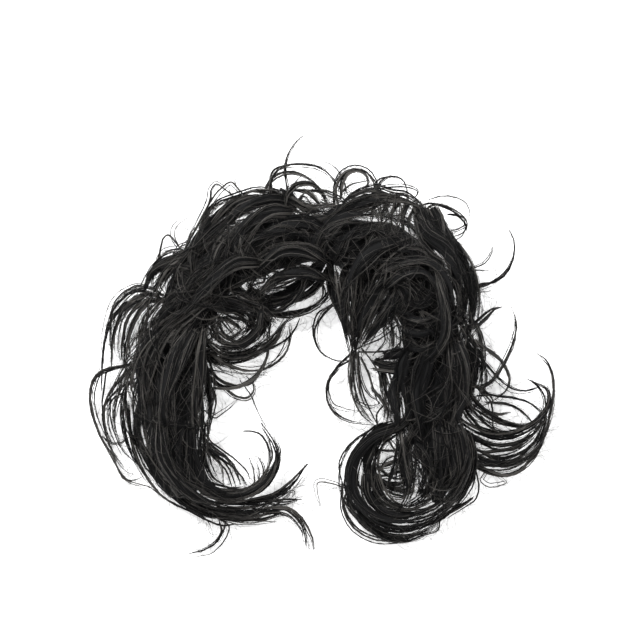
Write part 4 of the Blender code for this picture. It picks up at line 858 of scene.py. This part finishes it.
def around_core(wanted, angle, layer):
    """Points round the core: at stations, at an angle from level outwards, at a share of its reach."""
    rows = read_stations(wanted)
    flat = np.full(rows.shape[:-1], CORE_HEIGHT)
    middle = plan_to_world(rows[..., :2], flat)
    ahead = plan_to_world(read_stations(wanted + STATION_STEP)[..., :2], flat)
    behind = plan_to_world(read_stations(wanted - STATION_STEP)[..., :2], flat)
    across = unit(np.cross((0, 0, 1), ahead - behind))
    above = np.where(np.sin(angle) > 0, rows[..., 3] - CORE_HEIGHT, CORE_HEIGHT - UNDERSIDE)
    points = middle + across * (rows[..., 2] * MM * layer * np.cos(angle))[..., None]
    points[..., 2] += above * MM * layer * np.sin(angle)
    return points


def wound_lock(start, length, share, angle, layer):
    """A lock that winds round the core and keeps clear of its two ends."""
    stations = np.clip(start + length * share, CORE_END, len(STATIONS) - 1 - CORE_END)
    return Lock(around_core(stations + 1e-4 * share, angle, layer))


def wind_rolls(bunch, first, last, way, count, rng):
    """Rolls of hair that start in this bunch, wind round the core and slip out at their tips."""
    share = np.linspace(0, 1, ROLL_POINTS)
    for _ in range(count):
        start = rng.uniform(first, last)
        length = rng.uniform(*ROLL_LENGTHS) * way
        if rng.random() < ROLL_BACK_CHANCE:
            length *= ROLL_BACK_LENGTH
        turns = rng.normal(0, ROLL_TURNS)
        angle = (rng.uniform(-0.5, math.pi + 0.5) + turns * share
                 + 0.5 * wave(share, rng.uniform(0.6, 1.3), rng.uniform(0, 2 * math.pi)))
        layer = (rng.uniform(*ROLL_LAYERS) + rng.uniform(*ROLL_SLIP) * share ** 2
                 + 0.06 * wave(share, rng.uniform(0.8, 2.0), rng.uniform(0, 6)))
        width = rng.uniform(*ROLL_WIDTHS)
        lock = wound_lock(start, length, share, angle, layer)
        comb(bunch, lock, ROLL_STRANDS, width, width * 0.6, ROLL_COMB, rng)


def beside_core(points):
    """The row of stations nearest to each plan point, and how far off it is in reaches."""
    line = smooth_line(STATIONS, 8)
    near = np.linalg.norm(points[:, None, :2] - line[None, :, :2], axis=2)
    rows = line[near.argmin(axis=1)]
    return rows, near.min(axis=1) * GRID_STEP / MM / rows[:, 2]


def surface_height(rows, beside):
    """How high (mm) the hair lies: over the core, and sinking to the table beside it."""
    over = np.sqrt(np.clip(1 - (beside / ROUND_TO) ** 2, 0, 1))
    fall = np.exp(-FALL_RATE * np.clip(beside - FALL_FROM, 0, None))
    height = np.maximum(CORE_HEIGHT + (rows[:, 3] - CORE_HEIGHT) * over, 0)
    return height * np.where(beside > FALL_FROM, fall, 1)


def add_curls(bunch, first, last, way, count, rng):
    """Short curls of a few strands that lie over the locks and hang out at the sides."""
    share = np.linspace(0, 1, CURL_POINTS)
    for _ in range(count):
        station = rng.uniform(first, last)
        here, ahead = read_stations(np.array([station, station + STATION_STEP * way]))
        along = ahead[:2] - here[:2]
        heading = math.atan2(along[1], along[0]) + rng.normal(0, 0.9)
        across = np.array((-along[1], along[0])) / np.linalg.norm(along)
        start = here[:2] + across * rng.uniform(-1.0, 1.0) * here[2] * MM / GRID_STEP
        sweep = rng.choice((-1, 1)) * rng.uniform(*CURL_SWEEPS)
        length = abs(rng.uniform(*CURL_SIZES) * sweep)
        turning = heading + sweep * share ** rng.uniform(0.8, 1.4)
        steps = np.stack((np.cos(turning), np.sin(turning)), axis=1) * length / (CURL_POINTS - 1)
        steps[0] = 0
        points = start + np.cumsum(steps, axis=0)
        over = rng.uniform(-3, 3) + rng.uniform(0, 3) * np.sin(math.pi * share)
        rows, beside = beside_core(points)
        if beside.max() > CURL_REACH:
            continue
        heights = np.maximum(surface_height(rows, beside) + over, CURL_LOWEST)
        lock = Lock(plan_to_world(points, heights))
        width = rng.uniform(*CURL_WIDTHS)
        # Each curl gets a random lighter or darker tone; the lightest is a painted highlight.
        comb(bunch, lock, int(2 + CURL_PER_MM * width), width, width * 0.8, CURL_COMB, rng,
             lighter=rng.choice(CURL_TONES_AND_HIGHLIGHTS))


def add_mass(bunch, first, last):
    """The mass of hair inside the rolls, a lumpy body round the core, painted dark for the shade inside."""
    count = int(math.ceil((last - first) * MASS_SECTIONS)) + 1
    wanted = np.linspace(first, last, count)[:, None]
    angle = np.linspace(0, 2 * math.pi, MASS_SIDES, endpoint=False)[None, :] + 0 * wanted
    lumps = 1
    for depth, ridges, slant in MASS_LUMPS:
        lumps = lumps + depth * np.sin(ridges * angle + slant * wanted)
    taper = np.clip(np.minimum(wanted, len(STATIONS) - 1 - wanted) / MASS_END_RUN, 0, 1)
    share = MASS_SHARE * (MASS_END_SHARE + (1 - MASS_END_SHARE) * np.sqrt(taper))
    bunch.bodies.append((around_core(wanted + 0 * angle, angle, share * lumps), MASS_TONE_WITH_SHADE))


def add_pith(bunch, lock, width, thickness, rng):
    """The dense inside of a lock, a ribbed body that its strands hide, painted dark for the shade in it."""
    share = np.linspace(PITH_START, PITH_END, lock.segments + 1)[:, None]
    angle = np.linspace(0, 2 * math.pi, PITH_SIDES, endpoint=False)[None, :]
    full = half_breadth(share, PITH_END, PITH_TIP, PITH_TAPER)
    full = full * (1 + rng.uniform(-PITH_ROUGHNESS, PITH_ROUGHNESS, (len(share), PITH_SIDES)))
    side = full * width * PITH_WIDTH * np.cos(angle)
    rise = full * thickness * (PITH_THICKNESS * np.sin(angle) - PITH_DROP)
    rings = lock.place(share + 0 * angle, side, rise)
    rings[..., 2] = np.maximum(rings[..., 2], LOWEST * MM)
    bunch.bodies.append((rings, PITH_TONE_WITH_SHADE))


def add_hair(bunch, hair, rng):
    """One fine hair along its own line."""
    marks = np.linspace(0, 1, hair.segments + 1)
    at = np.interp(marks, hair.marks, hair.share)
    size = FINE_RADIUS * MM * (1 - FINE_THINNING * marks ** 2)
    bunch.add(hair.read(hair.path, at)[None], size[None], rng.random(1))


def add_frizz(bunch, lock, width, rng):
    """A single fine hair that leaves a lock and curls by itself."""
    first = rng.uniform(0.0, 0.55)
    last = min(1.0, first + rng.uniform(0.3, 0.6))
    share = np.linspace(first, last, FINE_POINTS)
    leave = np.linspace(0, 1, FINE_POINTS) ** rng.uniform(1.2, 2.0)
    side = rng.normal(0, FRIZZ_BESIDE) * leave + 0.6 * width * rng.uniform(-0.5, 0.5)
    side = side + rng.uniform(0.2, 0.8) * wave(share, rng.uniform(0.6, 1.6), rng.uniform(0, 6)) * leave
    rise = rng.normal(0, FRIZZ_OVER) * leave
    add_hair(bunch, Lock(lock.place(share, side * MM, rise * MM)), rng)


def add_fuzz(bunch, lock, width, rng):
    """Short fine hairs that leave a lock and curl to either side."""
    at = rng.random(FUZZ_HAIRS)
    across, upright = lock.read(lock.across, at), lock.read(lock.upright, at)
    ahead = np.cross(across, upright)
    start = lock.read(lock.path, at) + across * (rng.uniform(-0.5, 0.5, len(at)) * width * MM)[:, None]
    marks = np.linspace(0, 1, FUZZ_SEGMENTS + 1)
    turning = rng.normal(0, 0.5, (len(at), 1)) + rng.normal(0, 1.7, (len(at), 1)) * marks
    step = rng.uniform(*FUZZ_LENGTHS, (len(at), 1)) * MM / FUZZ_SEGMENTS
    forward = np.cumsum(np.cos(turning) * step, axis=1) - step
    aside = np.cumsum(np.sin(turning) * step, axis=1)
    rise = rng.normal(0, 0.25, (len(at), 1)) * step * FUZZ_SEGMENTS * marks
    points = (start[:, None] + ahead[:, None] * forward[..., None] + across[:, None] * aside[..., None]
              + upright[:, None] * rise[..., None])
    size = FUZZ_RADIUS * MM * rng.uniform(0.6, 1.1, (len(at), 1)) * (1 - FINE_THINNING * marks ** 2)
    bunch.add(points, size, rng.random(len(at)))


def add_companion(bunch, lock, strands, width, rng):
    """A thinner string that leaves another one and runs beside it."""
    leave = (np.sin(math.pi * lock.share ** rng.uniform(0.7, 1.4)) * rng.choice((-1, 1))
             * rng.uniform(*COMPANION_BESIDE))
    rise = np.sin(math.pi * lock.share) * rng.uniform(-COMPANION_OVER, COMPANION_OVER)
    beside = Lock(lock.place(lock.share, leave * MM, rise * MM))
    count = max(3, int(COMPANION_SHARE * strands))
    comb(bunch, beside, count, 0.6 * width, 0.5 * width, COMPANION_COMB, rng)


def add_haze(bunch, first, last, rng):
    """Fine single hairs that curl in the open round the core."""
    share = np.linspace(0, 1, FINE_POINTS)
    for _ in range(HAZE_HAIRS):
        start = rng.uniform(first, last)
        length = rng.uniform(*HAZE_LENGTHS) * rng.choice((-1, 1))
        angle = rng.uniform(-0.6, math.pi + 0.6) + rng.normal(0, 0.9) * share
        spread = rng.uniform(*HAZE_SPREAD) * np.sin(math.pi * share) ** 1.5
        layer = rng.uniform(*HAZE_LAYERS) + spread * (HAZE_UP + (1 - HAZE_UP) * np.abs(np.cos(angle)))
        add_hair(bunch, wound_lock(start, length, share, angle, layer), rng)


def strand_rings(path, radius):
    """Three corners round every point of the strands."""
    forward = unit(np.gradient(path, axis=1))
    across = unit(np.cross((0.11, 0.07, 1), forward))
    upright = np.cross(forward, across)
    corners = []
    for side in range(3):
        angle = 2 * math.pi * side / 3 + math.pi / 2
        corners.append(path + radius[..., None] * (across * math.cos(angle) + upright * math.sin(angle)))
    return np.stack(corners, axis=2)


class TubeMesh:
    """Collects closed tubes, each with its own strip of the map, and makes them one mesh."""

    def __init__(self, tubes):
        self.columns = int(math.ceil(math.sqrt(tubes * MAP_SHAPE)))
        self.rows = int(math.ceil(tubes / self.columns))
        self.corners = 0
        self.tubes = 0
        self.vertices, self.values = [], []
        self.quads, self.quad_maps = [], []
        self.triangles, self.triangle_maps = [], []

    def add_tubes(self, rings, order, end_faces):
        """The sides of tubes of one length and the map of their ends. Gives the corners' numbers."""
        count, length, sides = rings.shape[:3]
        index = self.corners + np.arange(count * length * sides).reshape(count, length, sides)
        beside = np.roll(index, -1, axis=2)
        number = self.tubes + np.arange(count)[:, None, None]
        left, low = number % self.columns / self.columns, number // self.columns / self.rows
        side = left + (MAP_MARGIN + MAP_BREADTH * np.arange(sides + 1) / sides) / self.columns
        share = low + np.linspace(*MAP_RUN, length)[:, None] / self.rows
        places = np.stack(np.broadcast_arrays(side, share), axis=-1)
        faces = (index[:, :-1], beside[:, :-1], beside[:, 1:], index[:, 1:])
        spots = (places[:, :-1, :-1], places[:, :-1, 1:], places[:, 1:, 1:], places[:, 1:, :-1])
        self.quads.append(np.stack([faces[i] for i in order], axis=-1).reshape(-1, 4))
        self.quad_maps.append(np.stack([spots[i] for i in order], axis=3).reshape(-1, 4, 2))
        for edge, tip in MAP_ENDS:
            across = left[:, 0] + np.array(MAP_CORNERS) / self.columns
            up = low[:, 0] + np.array((edge, edge, tip)) / self.rows
            self.triangle_maps.append(np.repeat(np.stack((across, up), axis=-1), end_faces, axis=0))
        return index, beside

    def add_values(self, vertices, along, tone, streak):
        """The corners, with how far along their tube they are, their tone and their streak."""
        self.vertices.append(vertices)
        self.values.append(np.stack((along, tone, streak)))
        self.corners += len(vertices)

    def add_strands(self, path, radius, tone):
        """Three-sided strands, closed by one triangle at each end."""
        count, length = path.shape[:2]
        rings = strand_rings(path, radius)
        index, _ = self.add_tubes(rings, (0, 1, 2, 3), 1)
        self.triangles += [index[:, 0][:, ::-1], index[:, -1]]
        along = np.tile(np.repeat(np.linspace(0, 1, length), 3), count)
        streak = (self.tubes + np.arange(count)) * STREAK_STEP + tone * STREAK_TONE
        tone, streak = np.repeat(tone, length * 3), np.repeat(streak, length * 3)
        self.add_values(rings.reshape(-1, 3), along, tone, streak)
        self.tubes += count

    def add_body(self, rings, tone):
        """A body of many sides, closed by a fan round a hub at each end."""
        length, sides = rings.shape[:2]
        index, beside = self.add_tubes(rings[None], (0, 3, 2, 1), sides)
        hub = np.full(sides, self.corners + length * sides)
        self.triangles.append(np.stack((index[0, 0], beside[0, 0], hub), axis=-1))
        self.triangles.append(np.stack((beside[0, -1], index[0, -1], hub + 1), axis=-1))
        hubs = np.stack((rings[0].mean(axis=0), rings[-1].mean(axis=0)))
        along = np.append(np.repeat(np.linspace(0, 1, length), sides), (0, 1))
        streak = np.append(np.tile(np.arange(sides) * STREAK_SIDE, length), (0, 1)) + self.tubes
        self.add_values(np.vstack((rings.reshape(-1, 3), hubs)), along, np.full(len(along), tone), streak)
        self.tubes += 1

    def make(self, name):
        """The object, with its map and a value for each corner."""
        quads, triangles = np.vstack(self.quads), np.vstack(self.triangles)
        corners = np.concatenate((quads.ravel(), triangles.ravel()))
        starts = np.concatenate((np.arange(len(quads)) * 4, quads.size + np.arange(len(triangles)) * 3))
        places = np.concatenate((np.vstack(self.quad_maps).ravel(), np.vstack(self.triangle_maps).ravel()))
        mesh = bpy.data.meshes.new(name)
        mesh.vertices.add(self.corners)
        mesh.vertices.foreach_set("co", np.vstack(self.vertices).astype(np.float32).ravel())
        mesh.loops.add(len(corners))
        mesh.loops.foreach_set("vertex_index", corners.astype(np.int32))
        mesh.polygons.add(len(starts))
        mesh.polygons.foreach_set("loop_start", starts.astype(np.int32))
        mesh.update(calc_edges=True)
        mesh.uv_layers.new(name="OFBake").data.foreach_set("uv", places.astype(np.float32))
        for label, values in zip(("along", "tone", "streak"), np.hstack(self.values)):
            attribute = mesh.attributes.new(label, "FLOAT", "POINT")
            attribute.data.foreach_set("value", values.astype(np.float32))
        mesh.shade_smooth()
        mesh.validate()
        piece = bpy.data.objects.new(name, mesh)
        bpy.context.scene.collection.objects.link(piece)
        return piece


def make_bunch(index):
    """All the hair of one bunch: its locks, strings, rolls, dense bodies and stray hairs."""
    name, first, last, way, rolls, curls, painted_light_shift = BUNCHES[index]
    rng = np.random.default_rng(SEED + index)
    # The bunch's painted light and shade goes to all its strands.
    bunch = Bunch(painted_light_shift)
    add_mass(bunch, first, last)
    for lock_name, width, thickness, heights, points in LOCKS[name] + FLOWS[name]:
        lock = lock_from_plan(points, heights)
        comb(bunch, lock, int(LOCK_BASE + LOCK_PER_MM * width), width, thickness, LOCK_COMB, rng)
        if width >= PITH_LEAST and lock_name not in LOOSE_LOCKS:
            add_pith(bunch, lock, width, thickness, rng)
        add_frizz(bunch, lock, width, rng)
        add_fuzz(bunch, lock, width, rng)
    for count, width, heights, points in STRINGS[name]:
        lock = lock_from_plan(points, heights)
        strands = int(STRING_BASE + STRING_MORE * count)
        comb(bunch, lock, strands, STRING_BREADTH * width, width, STRING_COMB, rng)
        if rng.random() < COMPANION_CHANCE:
            add_companion(bunch, lock, strands, width, rng)
        add_frizz(bunch, lock, width, rng)
        add_fuzz(bunch, lock, width, rng)
    wind_rolls(bunch, first, last, way, rolls, rng)
    add_curls(bunch, first, last, way, curls, rng)
    add_haze(bunch, first, last, rng)

    tubes = TubeMesh(sum(len(tone) for _, _, tone in bunch.strands) + len(bunch.bodies))
    for path, radius, tone in bunch.strands:
        tubes.add_strands(path, radius, tone)
    for rings, tone in bunch.bodies:
        tubes.add_body(rings, tone)
    return tubes.make("hair_" + name)


def new_material(name):
    """A material with nodes, its node tree and its shader."""
    material = bpy.data.materials.new(name)
    material.use_nodes = True
    return material, material.node_tree, material.node_tree.nodes["Principled BSDF"]


def fill_inputs(tree, node, inputs):
    """Join another node's output to an input, or set the input's value."""
    for name, value in inputs.items():
        if isinstance(value, bpy.types.NodeSocket):
            tree.links.new(value, node.inputs[name])
        else:
            node.inputs[name].default_value = value


def add_node(tree, kind, inputs, **settings):
    """A new node with its inputs and settings."""
    node = tree.nodes.new("ShaderNode" + kind)
    for name, value in settings.items():
        setattr(node, name, value)
    fill_inputs(tree, node, inputs)
    return node


def add_ramp(tree, factor, stops):
    """The colour between stops, each of them a position and a colour."""
    node = add_node(tree, "ValToRGB", {"Fac": factor})
    elements = node.color_ramp.elements
    for element, (position, colour) in ((elements[0], stops[0]), (elements[1], stops[-1])):
        element.position = position
        element.color = (*colour, 1)
    for position, colour in stops[1:-1]:
        elements.new(position).color = (*colour, 1)
    return node.outputs["Color"]


def hair_material():
    """Off-black fibre: each strand has its own tone, with slow changes along it, a soft gloss and painted
    sheen.
    """
    material, tree, shader = new_material("off_black_hair_fibre")
    tone, along, streak = [add_node(tree, "Attribute", {}, attribute_name=name).outputs["Fac"]
                           for name in ("tone", "along", "streak")]
    place = add_node(tree, "CombineXYZ", {"X": streak, "Y": along})
    cloud = add_node(tree, "TexNoise", {"Vector": place.outputs[0], "Scale": 3.0, "Detail": 2.0})
    mixed = add_node(tree, "Math", {0: cloud.outputs["Fac"], 1: 0.7, 2: tone}, operation="MULTIPLY_ADD")
    gloss = add_node(tree, "MapRange",
                     {"Value": mixed.outputs[0], "From Min": 0.3, "To Min": 0.85, "To Max": 0.38})
    fill_inputs(tree, shader, {"Base Color": add_ramp(tree, mixed.outputs[0], HAIR_COLOURS_AND_SHEEN),
                               "Roughness": gloss.outputs["Result"], "Specular IOR Level": 0.2})
    return material


def braid_material():
    """Black elastic in a fine braid, with dull rubber between the threads."""
    material, tree, shader = new_material("black_braided_elastic")
    place = add_node(tree, "TexCoord", {}).outputs["Object"]
    bands = []
    for tilt in (math.radians(45), math.radians(-45)):
        turn = add_node(tree, "Mapping", {"Vector": place, "Rotation": (0.3, 0.2, tilt)})
        band = add_node(tree, "TexWave",
                        {"Vector": turn.outputs["Vector"], "Scale": 260.0, "Distortion": 0.4})
        bands.append(band.outputs["Fac"])
    weave = add_node(tree, "Math", {0: bands[0], 1: bands[1]}, operation="MULTIPLY").outputs[0]
    bump = add_node(tree, "Bump", {"Height": weave, "Strength": 0.5, "Distance": 0.2 * MM})
    fill_inputs(tree, shader, {"Base Color": add_ramp(tree, weave, BRAID_COLOURS),
                               "Normal": bump.outputs["Normal"], "Roughness": 0.75})
    return material


def table_material():
    """A plain white table top under studio light."""
    material, tree, shader = new_material("white_table_top")
    fill_inputs(tree, shader, {"Base Color": (0.9, 0.9, 0.9, 1), "Roughness": 0.9,
                               "Specular IOR Level": 0.1, "Emission Color": (1, 1, 1, 1),
                               "Emission Strength": 0.7})
    return material


def add_lamp(name, place, size, power):
    """A soft round lamp, turned to the hair."""
    data = bpy.data.lights.new(name, "AREA")
    data.energy = power
    data.shape = "DISK"
    data.size = size
    lamp = bpy.data.objects.new(name, data)
    lamp.location = place
    x, y, z = place
    lamp.rotation_euler = (math.atan2(math.hypot(x, y), z), 0, math.atan2(-y, -x) - math.pi / 2)
    bpy.context.scene.collection.objects.link(lamp)


def set_studio():
    """The table, the lamps, the white surround and the camera straight above."""
    scene = bpy.context.scene
    bpy.ops.mesh.primitive_plane_add(size=TABLE_SIZE, location=(0, 0, -TABLE_DROP))
    table = bpy.context.object
    table.name = "table_top"
    table.data.materials.append(table_material())
    for name, place, size, power in LAMPS:
        add_lamp(name, place, size, power)
    scene.world = bpy.data.worlds.new("white_studio")
    scene.world.use_nodes = True
    surround = scene.world.node_tree.nodes["Background"]
    surround.inputs["Color"].default_value = (1, 1, 1, 1)
    surround.inputs["Strength"].default_value = 0.45
    scene.view_settings.view_transform = "Standard"
    data = bpy.data.cameras.new("camera")
    data.sensor_width = SENSOR_WIDTH
    data.lens = SENSOR_WIDTH * EYE_HEIGHT / PICTURE_WIDTH
    camera = bpy.data.objects.new("camera", data)
    camera.location = (-GRID_STEP * (CENTRE_X - EYE_X), -GRID_STEP * (EYE_Y - CENTRE_Y), EYE_HEIGHT)
    scene.collection.objects.link(camera)
    bpy.context.scene.camera = camera


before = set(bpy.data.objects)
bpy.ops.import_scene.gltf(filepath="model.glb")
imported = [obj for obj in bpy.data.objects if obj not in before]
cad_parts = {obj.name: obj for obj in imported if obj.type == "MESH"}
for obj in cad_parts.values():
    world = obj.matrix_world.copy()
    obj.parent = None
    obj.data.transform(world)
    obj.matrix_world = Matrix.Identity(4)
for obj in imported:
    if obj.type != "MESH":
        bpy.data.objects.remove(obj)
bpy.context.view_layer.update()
set_studio()
hair = hair_material()
for index in range(len(BUNCHES)):
    piece = make_bunch(index)
    piece.data.materials.append(hair)
    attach(piece, "root")
    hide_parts("bunch_" + BUNCHES[index][0])
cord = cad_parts["core_cord"]
braid = braid_material()
for slot in cord.material_slots:
    slot.material = braid
